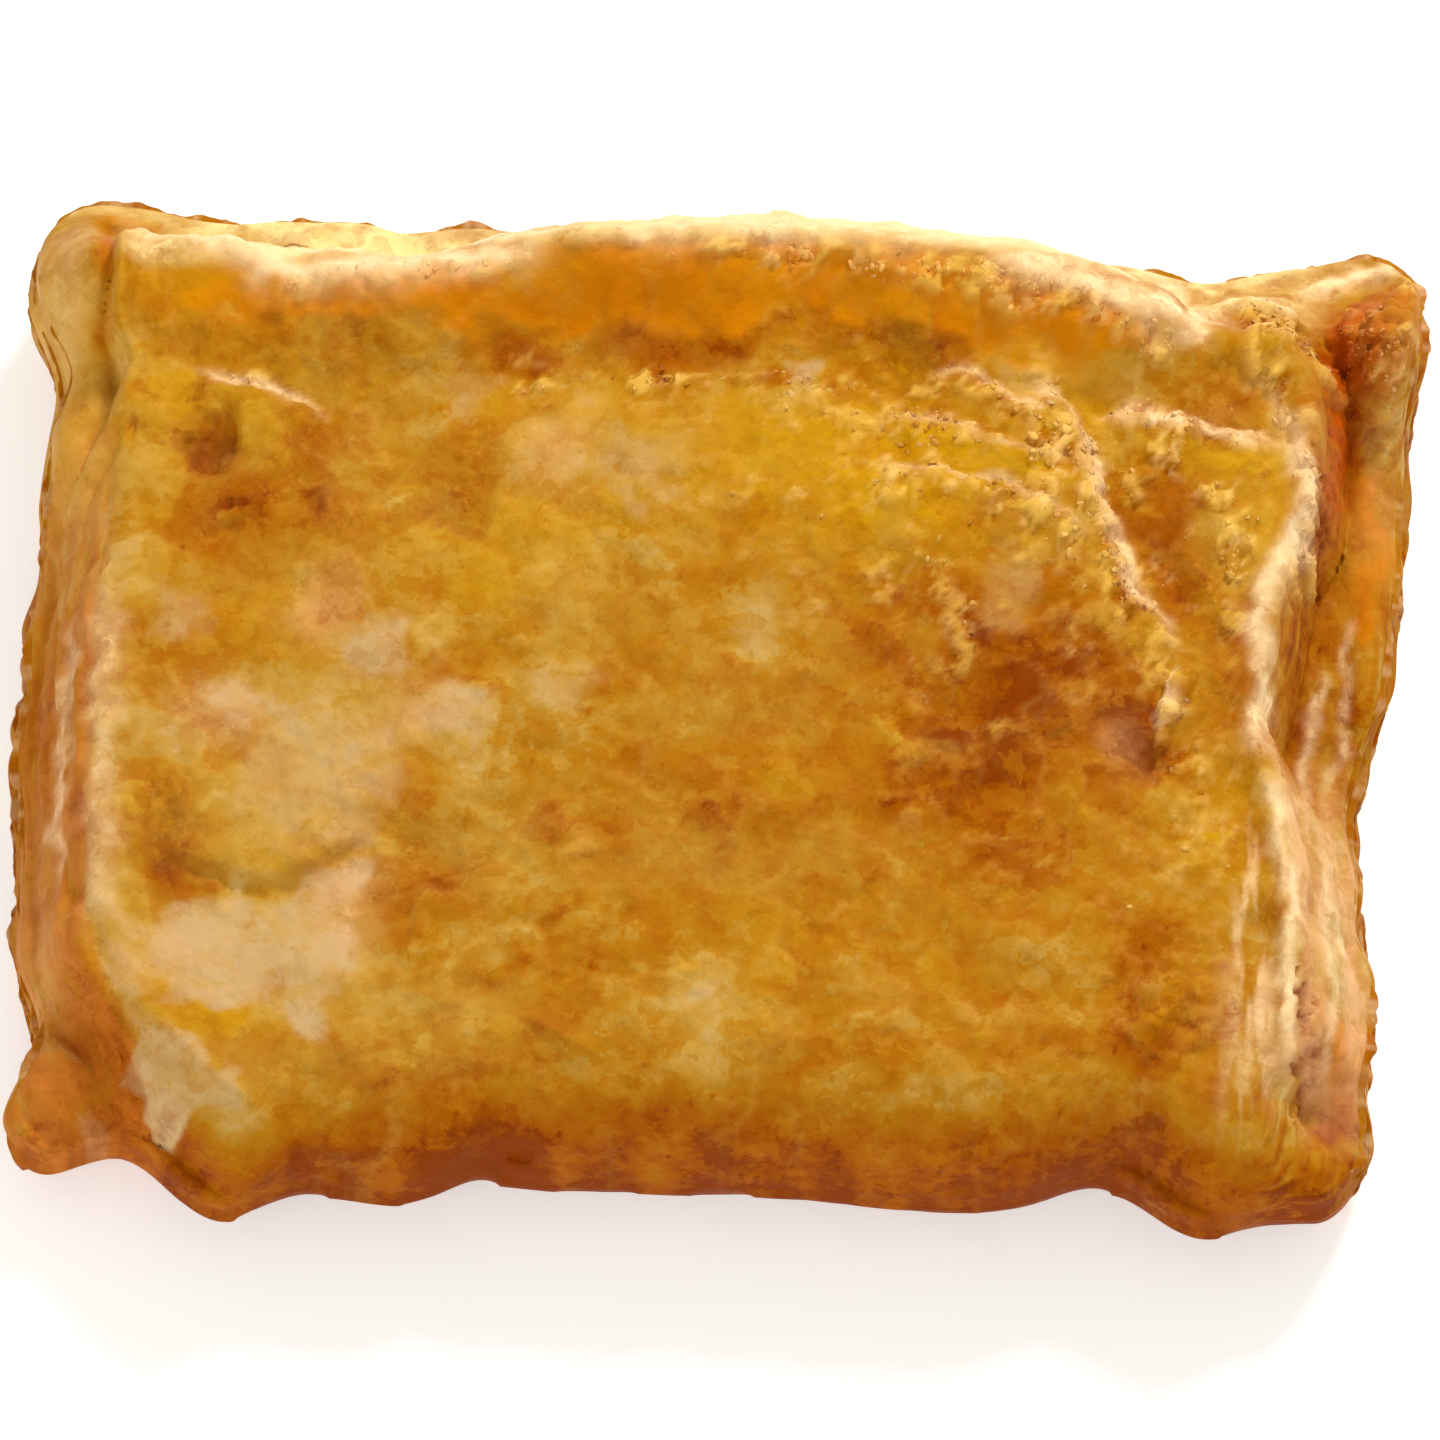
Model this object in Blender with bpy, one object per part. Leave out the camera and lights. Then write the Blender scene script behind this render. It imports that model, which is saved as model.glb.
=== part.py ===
"""A chicken pie: one sheet of puff pastry folded over a filling, so that the front is a
round fold and the left, right and back ends are sealed and stand in flaky layers.

Lengths are in millimetres and become metres at the end. X runs along the pie, +Y is the
sealed back, +Z is up, and the origin is the centre of the base.
"""

import math

import bmesh
import bpy
import numpy as np

MILLIMETRE = 0.001

# Driving dimensions: where the four sides lie on the mean, and how high the pastry stands.
LEFT_X = -61.5
RIGHT_X = 59.8
BACK_Y = 46.3
FRONT_Y = -44.6
CORNER_ROUND = 4.5  # plan radius of the four outer corners
SHOULDER_HEIGHT = 19.5  # pillow at its left and right ends
FRONT_HEIGHT = 21.5  # pillow at the middle of its front
BACK_RISE = 10.5  # how much higher it stands at the middle of its back
SHOULDER_RISE = 3.0  # the same at the left and right ends
SWELL_FRONT = -45.0  # the top climbs from here to there
SWELL_BACK = 40.0
CROWN_WIDTH = 50.0  # half width of its crown, and where the crown's middle is
CROWN_X = 2.0
CROWN_NARROWING = 10.0  # how much narrower and further left it is at the back
CREST = 4.2  # how far the back crest stands proud of the face inside it
CREST_PLACE = 0.88  # where its top lies, as a share of the wall behind it
CREST_WIDTH = 6.0
CREST_LEFT = (-62, -20)  # it grows over this stretch and ends over the next
CREST_RIGHT = (54, 26)
TROUGH = 0.3  # depth of the trough before it, as a share of it, and its place and width
TROUGH_PLACE = 11.0
TROUGH_WIDTH = 5.0
RIGHT_CREST = 1.6  # how far the crest at the right stands proud
RIGHT_CREST_WIDTH = 1.9
RIGHT_CREST_FRONT = (-36, -20)
RIGHT_CREST_BACK = (40, 28)
RIGHT_CREST_INNER = (25, 45)
FOLD_REACH = 9.5  # how far the fold along the front rounds back into the top
SEAL_EDGE = 8.5  # height of the sealed ends at their outer edge
SEAL_REACH = 8.0  # over this width they climb towards the pillow
SEAL_SLOPE = 0.35
BACK_SEAL_RISE = 3.5  # how much thicker the seal is along the back
BACK_SEAL_FROM = (30, 40)
LAYER = 3.0  # thickness of one leaf of pastry layers
LAYER_WAVES = 0.7  # how much the layers wander, in layers, and over what length
LAYER_WAVE_LENGTH = 16.0
LAYER_STEP = 0.5  # how stepped the walls are, and how much less at the low right
LOW_RIGHT_STEP = 0.2
LAYERS_OUTER = (-6, 0)  # depths over which the layers begin, and shares of the wall
LAYERS_INNER = (1.15, 0.7)  # over which they end
LAYERS_BACK = (36, 26)
LEFT_PLAIN = 14.0  # how much sooner the layers end towards the back at the left
SWELL_BROAD = 0.55  # broad and small unevenness of the whole top, and its cells
SWELL_SMALL = 0.35
BROAD_CELL = 13.0
SMALL_CELL = 5.0

# The mesh: grid cells across the top, rings down the cut edge, and how much finer
# than the mean the cells are at the rim.
COLUMNS = 68
ROWS = 50
RINGS = 8
RIM_FINENESS = 0.45

# How far the leaf edges stand out of the cut edge, ring by ring from the rim down.
LEAVES = (0.0, 0.9, 0.2, 1.3, 0.5, 1.4, 0.6, 0.7, 0.0)
LEAF_WAVES = 0.7  # how much that changes along the edge, and over what length
LEAF_WAVE_LENGTH = 5.0
FOLD_LEAVES = 0.25  # share of it that is left along the fold
FOLD_BULGE = 0.5  # how far the fold bulges half way down
FOLD_FACING = (0.55, 0.95)  # how much the edge faces the front where the fold begins
TUCK = 2.4  # how far the bottom corner of the cut edge is drawn in
FOLD_TUCK = 4.4  # the same under the round fold at the front
TUCK_FROM = 0.55  # share of the way down where it begins, and how much sooner at the fold
FOLD_TUCK_SOONER = 0.25
TUCK_OVER = 0.6

PLAN_SHIFT = (0.66, -0.75)  # centres the box of the uneven outline on the origin
LATTICE = 64  # cells along the side of a noise lattice before it repeats

# Where each side bulges out (+) or is notched (-): place along the side, half width, amount.
LEFT_BULGES = ((40, 7, 2.2), (29, 3.5, -1.6), (-3, 13, 1.4), (-35, 5, -2.4), (-42, 5, 1.2))
RIGHT_BULGES = ((38, 8, 1.6), (22, 8, 1.0), (-8, 8, -3.2), (-20, 3.5, -1.4), (-38, 6, -0.4))
BACK_BULGES = ((-60, 6, 0.8), (-40, 18, 1.2), (0, 20, 1.5), (42, 5, -1.4), (57, 8, 2.6))
FRONT_BULGES = ((-50, 6, -2.8), (-42, 6, 4.4), (-26, 6, 1.4), (-18, 3, -1.4), (0, 14, -0.6),
                (38, 5, -3.0), (47, 6, 2.0), (63, 3, -2.0))

# Width of the seal outside the pillow, and of the wall up to its crest: a first value,
# then steps along the side as (from, to, change).
LEFT_SEAL = (0.8, ((13, 25, 3.2), (31, 38, 2.2), (-28, -46, 9.8)))
RIGHT_SEAL = (0.4, ((-10, 0, 6.4), (12, 20, -2.2), (-30, -38, 4.0)))
BACK_SEAL = (1.5, ((-14, -32, 2.6), (24, 44, 2.5)))
LEFT_WALL = (7.0, ((13, 27, -4.6), (-18, -34, -2.6)))
RIGHT_WALL = (6.4, ((-10, 0, -2.4),))
BACK_WALL = (8.5, ((-40, -47, -5.0),))
SHOULDER = 2.1  # how round a wall turns into the top; nearer to 1 is sharper
RIGHT_SHOULDER = (2.1, ((-24, -8, -0.7),))
BACK_LEFT_ROUND = 4.0  # plan radii of the pillow's foot at its two back corners
BACK_RIGHT_ROUND = 18.0

# Raised lips of pastry: height, half width, and the line they follow.
RIDGES = (
    (1.0, 1.1, ((42.5, 1.5), (40.5, -2.5), (39.5, -7.0))),
    (0.8, 1.3, ((-51.0, -33.5), (-45.0, -39.5), (-39.0, -44.5))),
    (0.8, 1.2, ((-17.0, -33.5), (-13.0, -36.0), (-9.0, -38.0))),
    (0.9, 1.2, ((50.4, -11.0), (51.6, -20.0), (52.0, -28.0), (51.6, -37.0))),
)

# Ledges where one sheet ends on the next: drop, half width, reach, and the line, whose
# left side is the high one.
LEDGES = (
    (2.8, 1.0, 7.0, ((42.0, 2.5), (36.5, 8.8), (34.4, 14.5), (31.8, 21.5), (27.0, 29.0))),
    (2.0, 0.9, 4.5, ((52.5, 23.0), (46.0, 23.5), (40.5, 25.0), (35.5, 25.5), (32.5, 23.5))),
    (1.8, 0.9, 4.0, ((-36.0, 22.6), (-42.0, 25.4), (-49.0, 27.6))),
    (1.1, 0.9, 3.5, ((31.5, 18.5), (26.7, 20.2), (20.0, 21.8), (13.0, 22.6))),
    (0.9, 0.9, 3.5, ((34.5, 11.5), (29.5, 14.7), (24.5, 16.5), (17.0, 17.4), (9.0, 16.6))),
    (0.9, 0.9, 3.0, ((29.0, 24.5), (24.0, 25.8), (19.0, 27.6))),
    (1.4, 1.2, 5.0, ((-34.0, 33.0), (-42.0, 31.5), (-49.0, 33.5))),
    (1.2, 0.9, 5.0, ((-51.0, -19.0), (-40.0, -22.0), (-30.0, -17.0))),
    (1.1, 0.9, 4.0, ((-17.0, -19.0), (-27.0, -21.5), (-30.0, -17.0))),
    (1.0, 1.0, 5.0, ((28.0, -3.0), (21.0, -6.0), (15.0, -2.0))),
)

# Dents and burst blisters: depth (negative for a bubble), half sizes, turn, centre.
DENTS = (
    (1.6, 2.8, 4.0, -8, (-47.2, 20.4)),
    (1.0, 2.6, 1.4, 15, (-45.0, 12.0)),
    (1.8, 4.0, 6.5, 25, (39.0, 14.0)),
    (1.0, 4.0, 2.6, -20, (31.5, 27.0)),
    (1.4, 2.0, 3.2, 10, (38.5, -7.5)),
    (0.9, 3.0, 2.4, 0, (-18.5, 32.0)),
    (0.9, 3.2, 2.2, 0, (-6.5, 32.5)),
    (0.8, 5.0, 2.4, 0, (8.0, 33.0)),
    (1.0, 7.0, 5.0, 20, (22.0, -3.0)),
    (0.8, 5.5, 3.6, 12, (-26.0, -17.5)),
    (0.7, 4.0, 4.0, 0, (-51.0, -8.0)),
    (-0.9, 7.0, 4.0, -15, (18.0, 14.0)),
    (-0.8, 5.0, 5.0, 0, (-30.0, 3.0)),
    (-0.9, 6.0, 4.5, 10, (-8.0, 20.0)),
    (-0.7, 8.0, 5.0, 0, (5.0, -14.0)),
    (-0.6, 6.0, 4.0, 0, (-8.0, -27.0)),
    (-0.8, 6.0, 5.0, -20, (30.0, -25.0)),
)

# Lumps on the sealed ends: height, half sizes, turn, centre.
LUMPS = (
    (8.5, 6.5, 8.5, 0, (-59.5, 38.5)),
    (8.0, 5.5, 8.0, 0, (-59.5, 23.0)),
    (9.5, 4.6, 8.0, -20, (60.5, 38.0)),
    (7.0, 5.5, 4.0, 15, (47.5, 38.0)),
    (3.0, 5.0, 5.0, 0, (-59.5, -37.5)),
    (3.0, 3.4, 5.0, 0, (58.6, -32.0)),
    (2.5, 4.0, 3.5, 0, (55.5, -41.5)),
    (3.0, 2.4, 9.0, 0, (59.0, 8.0)),
)

# Creases where the pillow meets a sealed end: depth, half width, and the line.
CREASES = (
    (2.0, 1.4, ((-57.6, 46.0), (-57.3, 38.0), (-57.4, 30.0))),
    (3.6, 1.6, ((56.2, 38.0), (55.5, 30.0), (55.5, 22.0), (55.0, 13.0))),
    (2.0, 1.5, ((41.5, 41.0), (41.0, 35.5), (43.0, 30.0))),
    (2.0, 1.2, ((-60.0, 43.5), (-54.0, 44.4), (-42.0, 44.8))),
    (2.4, 1.5, ((-58.6, -16.0), (-56.0, -26.0), (-51.5, -37.0), (-48.0, -45.0))),
    (1.8, 1.4, ((53.6, -17.0), (53.8, -28.0), (53.4, -40.0))),
)


def smoothstep(low, high, value):
    share = np.clip((value - low) / (high - low), 0.0, 1.0)
    return share * share * (3.0 - 2.0 * share)


def hill(distance, width):
    return np.exp(-((distance / width) ** 2))


def value_noise(x, y, cell, seed):
    """Smooth random values from -1 to 1 on a lattice with cells of that size."""
    lattice = np.random.default_rng(seed).uniform(-1.0, 1.0, (LATTICE, LATTICE))
    column, row = np.floor(x / cell), np.floor(y / cell)
    across, up = x / cell - column, y / cell - row
    across, up = across * across * (3 - 2 * across), up * up * (3 - 2 * up)
    column, row = column.astype(int) % LATTICE, row.astype(int) % LATTICE
    right, above = (column + 1) % LATTICE, (row + 1) % LATTICE
    low = lattice[column, row] * (1 - across) + lattice[right, row] * across
    high = lattice[column, above] * (1 - across) + lattice[right, above] * across
    return low * (1 - up) + high * up


def fractal_noise(x, y, cell, seed, octaves=3):
    total = np.zeros_like(x)
    for octave in range(octaves):
        total += value_noise(x, y, cell / 2**octave, seed + octave) / 2**octave
    return total / 1.5


def bulged(along, bulges):
    return sum(amount * hill(along - place, width) for place, width, amount in bulges)


def stepped(along, first_and_steps):
    first, steps = first_and_steps
    return first + sum(change * smoothstep(start, end, along) for start, end, change in steps)


def left_edge(y):
    return LEFT_X - bulged(y, LEFT_BULGES) - 0.35 * value_noise(y, y * 0, 5.0, 11)


def right_edge(y):
    return RIGHT_X + 0.02 * y + bulged(y, RIGHT_BULGES) + 0.35 * value_noise(y, y * 0, 4.0, 12)


def back_edge(x):
    return BACK_Y + bulged(x, BACK_BULGES) + 0.3 * value_noise(x, x * 0, 5.0, 13)


def front_edge(x):
    return FRONT_Y - bulged(x, FRONT_BULGES) - 0.3 * value_noise(x, x * 0, 6.0, 14)


def line_distance(x, y, points):
    """Distance to a line through points, the side it lies on, and the share along it."""
    best = np.full_like(x, np.inf)
    side = np.ones_like(x)
    share = np.zeros_like(x)
    pieces = len(points) - 1
    for number, ((ax, ay), (bx, by)) in enumerate(zip(points, points[1:])):
        along_x, along_y = bx - ax, by - ay
        t = ((x - ax) * along_x + (y - ay) * along_y) / (along_x**2 + along_y**2)
        clamped = np.clip(t, 0.0, 1.0)
        distance = np.hypot(x - ax - clamped * along_x, y - ay - clamped * along_y)
        nearer = distance < best
        cross = along_x * (y - ay) - along_y * (x - ax)
        best = np.where(nearer, distance, best)
        side = np.where(nearer, np.sign(cross), side)
        share = np.where(nearer, (number + clamped) / pieces, share)
    return best, side, share


def line_taper(share):
    """Fades a line out towards its two ends."""
    return smoothstep(0.0, 0.22, share) * smoothstep(1.0, 0.78, share)


def spot(x, y, wide, tall, turn, centre):
    """An elliptical hill of height 1."""
    angle = math.radians(turn)
    dx, dy = x - centre[0], y - centre[1]
    across = dx * math.cos(angle) + dy * math.sin(angle)
    up = dy * math.cos(angle) - dx * math.sin(angle)
    return np.exp(-((across / wide) ** 2) - (up / tall) ** 2)


def rounded_inside(first, second, radius):
    """Depth inside a corner of two sides, given the depth inside each."""
    near = (first < radius) & (second < radius)
    arc = radius - np.hypot(radius - first, radius - second)
    return np.where(near, arc, np.minimum(first, second))


def pillow_depth(x, y):
    """Depth inside the pillow's foot at its three sealed sides, the width and the shoulder
    of its wall there, and the depth inside its back alone."""
    left = x - left_edge(y) - stepped(y, LEFT_SEAL)
    right = right_edge(y) - x - stepped(y, RIGHT_SEAL)
    back = back_edge(x) - y - stepped(x, BACK_SEAL)
    at_left = rounded_inside(left, back, BACK_LEFT_ROUND)
    at_right = rounded_inside(right, back, BACK_RIGHT_ROUND)
    nearest = np.minimum(np.minimum(left, right), back)
    pulls = [np.exp((nearest - side) / 3.0) for side in (left, right, back)]
    walls = [stepped(y, LEFT_WALL), stepped(y, RIGHT_WALL), stepped(x, BACK_WALL)]
    shoulders = [SHOULDER, stepped(y, RIGHT_SHOULDER), SHOULDER]
    wall = sum(pull * width for pull, width in zip(pulls, walls)) / sum(pulls)
    shoulder = sum(pull * power for pull, power in zip(pulls, shoulders)) / sum(pulls)
    return np.minimum(at_left, at_right), wall, shoulder, back


def pillow_top(x, y):
    """The top of the pillow away from its walls: highest at the middle of the back."""
    swell = smoothstep(SWELL_FRONT, SWELL_BACK, y)
    narrowing = CROWN_NARROWING * swell
    crown = hill(x - CROWN_X - narrowing, CROWN_WIDTH - narrowing)
    middle = FRONT_HEIGHT - SHOULDER_HEIGHT + BACK_RISE * swell
    return SHOULDER_HEIGHT + middle * crown + SHOULDER_RISE * swell * (1 - crown)


def layered(z, x, y, strength):
    """Turns a slope into the treads and risers of stacked pastry layers."""
    level = z / LAYER + LAYER_WAVES * fractal_noise(x, y, LAYER_WAVE_LENGTH, 31)
    whole = np.floor(level)
    tread = (whole + smoothstep(0.15, 0.85, level - whole)) * LAYER
    return z + (tread - level * LAYER) * strength


def body_height(x, y):
    """The pillow, the sealed ends round it and the crests along its back and right."""
    depth, wall, shoulder, back = pillow_depth(x, y)
    climb = SEAL_SLOPE * np.clip(depth + SEAL_REACH, 0.0, SEAL_REACH)
    seal = SEAL_EDGE + climb + BACK_SEAL_RISE * smoothstep(*BACK_SEAL_FROM, y)
    share = np.clip(depth / wall, 0.0, 1.0)
    fold = np.clip((y - front_edge(x)) / FOLD_REACH, 0.0, 1.0)
    rise = (1 - (1 - share) ** shoulder) * np.sqrt(1 - (1 - fold) ** 2)
    height = seal + (pillow_top(x, y) - seal) * rise

    behind_crest = back - CREST_PLACE * stepped(x, BACK_WALL)
    at_back = smoothstep(*CREST_LEFT, x) * smoothstep(*CREST_RIGHT, x) * rise
    trough = TROUGH * hill(behind_crest - TROUGH_PLACE, TROUGH_WIDTH)
    height += CREST * at_back * (hill(behind_crest, CREST_WIDTH) - trough)
    at_right = smoothstep(*RIGHT_CREST_FRONT, y) * smoothstep(*RIGHT_CREST_BACK, y)
    at_right *= smoothstep(*RIGHT_CREST_INNER, x)
    height += RIGHT_CREST * at_right * hill(depth - wall, RIGHT_CREST_WIDTH)

    to_back = y + LEFT_PLAIN * smoothstep(10, -10, x)
    on_wall = smoothstep(*LAYERS_OUTER, depth) * smoothstep(*LAYERS_INNER, depth / wall)
    on_wall *= smoothstep(*LAYERS_BACK, to_back)
    low_right = smoothstep(30, 50, x) * smoothstep(12, -8, y)
    return layered(height, x, y, on_wall * (LAYER_STEP - LOW_RIGHT_STEP * low_right)), depth


def top_height(x, y):
    """Height of the upper surface, with its lips, ledges, dents, lumps and creases."""
    height, depth = body_height(x, y)
    for amount, width, line in RIDGES:
        distance, _, along = line_distance(x, y, line)
        height += amount * hill(distance, width) * line_taper(along)
    for drop, width, reach, line in LEDGES:
        distance, side, along = line_distance(x, y, line)
        across = side * np.tanh(distance / width) * hill(distance, reach)
        height += 0.5 * drop * across * line_taper(along)
    for amount, wide, tall, turn, centre in DENTS:
        height -= amount * spot(x, y, wide, tall, turn, centre)
    outside = smoothstep(3.0, 0.0, depth)
    for amount, wide, tall, turn, centre in LUMPS:
        height += amount * spot(x, y, wide, tall, turn, centre) * outside
    for amount, width, line in CREASES:
        distance, _, along = line_distance(x, y, line)
        height -= amount * hill(distance, width) * line_taper(along)
    uneven = SWELL_BROAD * fractal_noise(x, y, BROAD_CELL, 21)
    uneven += SWELL_SMALL * fractal_noise(x, y, SMALL_CELL, 25)
    return height + uneven


def corner_share(distance, half):
    return np.clip((np.abs(distance) - half + CORNER_ROUND) / CORNER_ROUND, 0, 1)


def plan_position(across, up):
    """Maps the unit square to the plan of the pie, with its four outer corners rounded."""
    half_x, half_y = (RIGHT_X - LEFT_X) / 2, (BACK_Y - FRONT_Y) / 2
    x0, y0 = (across * 2 - 1) * half_x, (up * 2 - 1) * half_y
    corner_x, corner_y = corner_share(x0, half_x), corner_share(y0, half_y)
    pull_x = CORNER_ROUND * corner_x * (1 - np.sqrt(1 - corner_y**2 / 2))
    pull_y = CORNER_ROUND * corner_y * (1 - np.sqrt(1 - corner_x**2 / 2))
    x = left_edge(y0) * (1 - across) + right_edge(y0) * across - np.sign(x0) * pull_x
    y = front_edge(x0) * (1 - up) + back_edge(x0) * up - np.sign(y0) * pull_y
    return x, y


def finer_at_rim(share):
    return share - RIM_FINENESS * np.sin(2 * math.pi * share) / (2 * math.pi)


def rim_of(grid):
    """The grid's rim verts, counter-clockwise from the front left corner."""
    front = [grid[0][column] for column in range(COLUMNS)]
    right = [grid[row][COLUMNS] for row in range(ROWS)]
    back = [grid[ROWS][column] for column in range(COLUMNS, 0, -1)]
    left = [grid[row][0] for row in range(ROWS, 0, -1)]
    return front + right + back + left


def smoothed(values, passes):
    """Averages a closed run of values with its neighbours."""
    for _ in range(passes):
        values = (np.roll(values, 1, axis=0) + 2 * values + np.roll(values, -1, axis=0)) / 4
    return values


def cut_edge(rim):
    """Rings from the rim down to the base: leaf edges in and out, and the corner drawn in."""
    plan = smoothed(rim[:, :2], 2)
    along = np.roll(plan, -1, axis=0) - np.roll(plan, 1, axis=0)
    outward = smoothed(np.stack([along[:, 1], -along[:, 0]], axis=1), 3)
    outward /= np.linalg.norm(outward, axis=1, keepdims=True)
    fold = smoothed(smoothstep(*FOLD_FACING, -outward[:, 1]), 6)
    travel = np.cumsum(np.linalg.norm(along, axis=1)) / 2
    rings = []
    for number in range(1, RINGS + 1):
        down = number / RINGS
        waves = 1 + LEAF_WAVES * value_noise(travel, travel * 0 + 7.0 * number, LEAF_WAVE_LENGTH, 43)
        leaf = LEAVES[number] * waves * (1 - (1 - FOLD_LEAVES) * fold)
        leaf += FOLD_BULGE * math.sin(math.pi * down) * fold
        drawn_in = np.clip((down - TUCK_FROM + FOLD_TUCK_SOONER * fold) / TUCK_OVER, 0, 1) ** 2
        tuck = (TUCK + (FOLD_TUCK - TUCK) * fold) * drawn_in
        ring = smoothed(rim[:, :2], number // 2) + outward * (leaf - tuck)[:, None]
        rings.append(np.column_stack([ring, rim[:, 2] * (1 - down)]))
    return rings


def ring_edges(mesh, ring):
    return [mesh.edges.get(pair) for pair in zip(ring, ring[1:] + ring[:1])]


def extruded(mesh, ring):
    """Extrudes a closed run of verts and gives the new verts in the same order."""
    grown = set(bmesh.ops.extrude_edge_only(mesh, edges=ring_edges(mesh, ring))["geom"])
    others = [[edge.other_vert(vert) for edge in vert.link_edges] for vert in ring]
    return [next(vert for vert in near if vert in grown) for near in others]


def crust_mesh():
    """The pie as one closed mesh: a moulded grid, its cut edge in rings, and a flat base."""
    mesh = bmesh.new()
    bmesh.ops.create_grid(mesh, x_segments=COLUMNS, y_segments=ROWS, size=0.5)
    mesh.verts.ensure_lookup_table()
    shares = np.array([vert.co[:2] for vert in mesh.verts]) + 0.5
    x, y = plan_position(finer_at_rim(shares[:, 0]), finer_at_rim(shares[:, 1]))
    for vert, point in zip(mesh.verts, np.column_stack([x, y, top_height(x, y)])):
        vert.co = point

    verts = list(mesh.verts)
    width = COLUMNS + 1
    ring = rim_of([verts[start : start + width] for start in range(0, len(verts), width)])
    for points in cut_edge(np.array([vert.co[:] for vert in ring])):
        ring = extruded(mesh, ring)
        for vert, point in zip(ring, points):
            vert.co = point
    bmesh.ops.edgeloop_fill(mesh, edges=ring_edges(mesh, ring))
    bmesh.ops.recalc_face_normals(mesh, faces=mesh.faces)
    return mesh


def pastry_material():
    material = bpy.data.materials.new("pastry")
    material.use_nodes = True
    shader = material.node_tree.nodes["Principled BSDF"]
    shader.inputs["Base Color"].default_value = (0.51, 0.21, 0.025, 1.0)
    shader.inputs["Roughness"].default_value = 0.45
    shader.inputs["Metallic"].default_value = 0.0
    return material


def main():
    for leftover in list(bpy.data.objects):
        bpy.data.objects.remove(leftover)
    collection = bpy.data.collections.new("chicken_pie")
    bpy.context.scene.collection.children.link(collection)

    crust = crust_mesh()
    bmesh.ops.translate(crust, verts=crust.verts, vec=(*PLAN_SHIFT, 0.0))
    bmesh.ops.scale(crust, verts=crust.verts, vec=(MILLIMETRE,) * 3)
    data = bpy.data.meshes.new("pastry")
    crust.to_mesh(data)
    crust.free()
    data.shade_smooth()
    data.set_sharp_from_angle(angle=math.radians(50))
    data.materials.append(pastry_material())
    collection.objects.link(bpy.data.objects.new("pastry", data))


main()
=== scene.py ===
"""The looks of a chicken pie of folded puff pastry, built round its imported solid.

Lengths are in form millimetres, as in the solid's own source, until in_box places them in
the frame. X runs along the pie, +Y is the sealed back, -Y the round fold, +Z is up.
"""

import math

import bmesh
import bpy
import numpy as np
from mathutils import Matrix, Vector


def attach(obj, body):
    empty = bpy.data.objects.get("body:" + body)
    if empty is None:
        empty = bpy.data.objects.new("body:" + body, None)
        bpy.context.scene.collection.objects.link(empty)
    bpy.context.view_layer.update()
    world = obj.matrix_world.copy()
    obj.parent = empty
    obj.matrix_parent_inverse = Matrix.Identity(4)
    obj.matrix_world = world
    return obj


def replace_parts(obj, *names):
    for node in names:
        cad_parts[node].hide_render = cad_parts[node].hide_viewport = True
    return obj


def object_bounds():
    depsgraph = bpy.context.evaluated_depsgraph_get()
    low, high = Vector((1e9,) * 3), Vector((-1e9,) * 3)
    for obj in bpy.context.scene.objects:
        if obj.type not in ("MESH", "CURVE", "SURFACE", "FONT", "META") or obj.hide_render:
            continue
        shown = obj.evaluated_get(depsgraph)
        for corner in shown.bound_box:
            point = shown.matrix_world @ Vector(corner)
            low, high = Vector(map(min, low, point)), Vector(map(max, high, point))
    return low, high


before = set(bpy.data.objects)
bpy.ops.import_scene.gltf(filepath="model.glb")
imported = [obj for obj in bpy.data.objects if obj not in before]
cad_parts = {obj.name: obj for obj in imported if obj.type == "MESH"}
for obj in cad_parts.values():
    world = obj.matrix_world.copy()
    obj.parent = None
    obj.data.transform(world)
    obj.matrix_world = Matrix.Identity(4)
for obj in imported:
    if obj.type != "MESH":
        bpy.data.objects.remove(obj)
CAD_BOX = [list(corner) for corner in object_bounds()]

MILLIMETRE = 0.001

# Driving dimensions: where the four sides lie on the mean, and how high the pastry stands.
LEFT_X = -61.5
RIGHT_X = 59.8
BACK_Y = 46.3
FRONT_Y = -44.6
CORNER_ROUND = 4.5  # plan radius of the four outer corners
SHOULDER_HEIGHT = 19.5  # pillow at its left and right ends
FRONT_HEIGHT = 21.5  # pillow at the middle of its front
BACK_RISE = 10.5  # how much higher it stands at the middle of its back
SHOULDER_RISE = 3.0  # the same at the left and right ends
SWELL_FRONT = -45.0  # the top climbs from here to there
SWELL_BACK = 40.0
CROWN_WIDTH = 50.0  # half width of its crown, and where the crown's middle is
CROWN_X = 2.0
CROWN_NARROWING = 10.0  # how much narrower and further left it is at the back
CREST = 4.2  # how far the back crest stands proud of the face inside it
CREST_PLACE = 0.88  # where its top lies, as a share of the wall behind it
CREST_WIDTH = 6.0
CREST_LEFT = (-62, -20)  # it grows over this stretch and ends over the next
CREST_RIGHT = (54, 26)
TROUGH = 0.3  # depth of the trough before it, as a share of it, and its place and width
TROUGH_PLACE = 11.0
TROUGH_WIDTH = 5.0
RIGHT_CREST = 1.6  # how far the crest at the right stands proud
RIGHT_CREST_WIDTH = 1.9
RIGHT_CREST_FRONT = (-36, -20)
RIGHT_CREST_BACK = (40, 28)
RIGHT_CREST_INNER = (25, 45)
FOLD_REACH = 9.5  # how far the fold along the front rounds back into the top
SEAL_EDGE = 8.5  # height of the sealed ends at their outer edge
SEAL_REACH = 8.0  # over this width they climb towards the pillow
SEAL_SLOPE = 0.35
BACK_SEAL_RISE = 3.5  # how much thicker the seal is along the back
BACK_SEAL_FROM = (30, 40)
LAYER = 3.0  # thickness of one leaf of pastry layers
LAYER_WAVES = 0.7  # how much the layers wander, in layers, and over what length
LAYER_WAVE_LENGTH = 16.0
LAYER_STEP = 0.5  # how stepped the walls are, and how much less at the low right
LOW_RIGHT_STEP = 0.2
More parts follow.
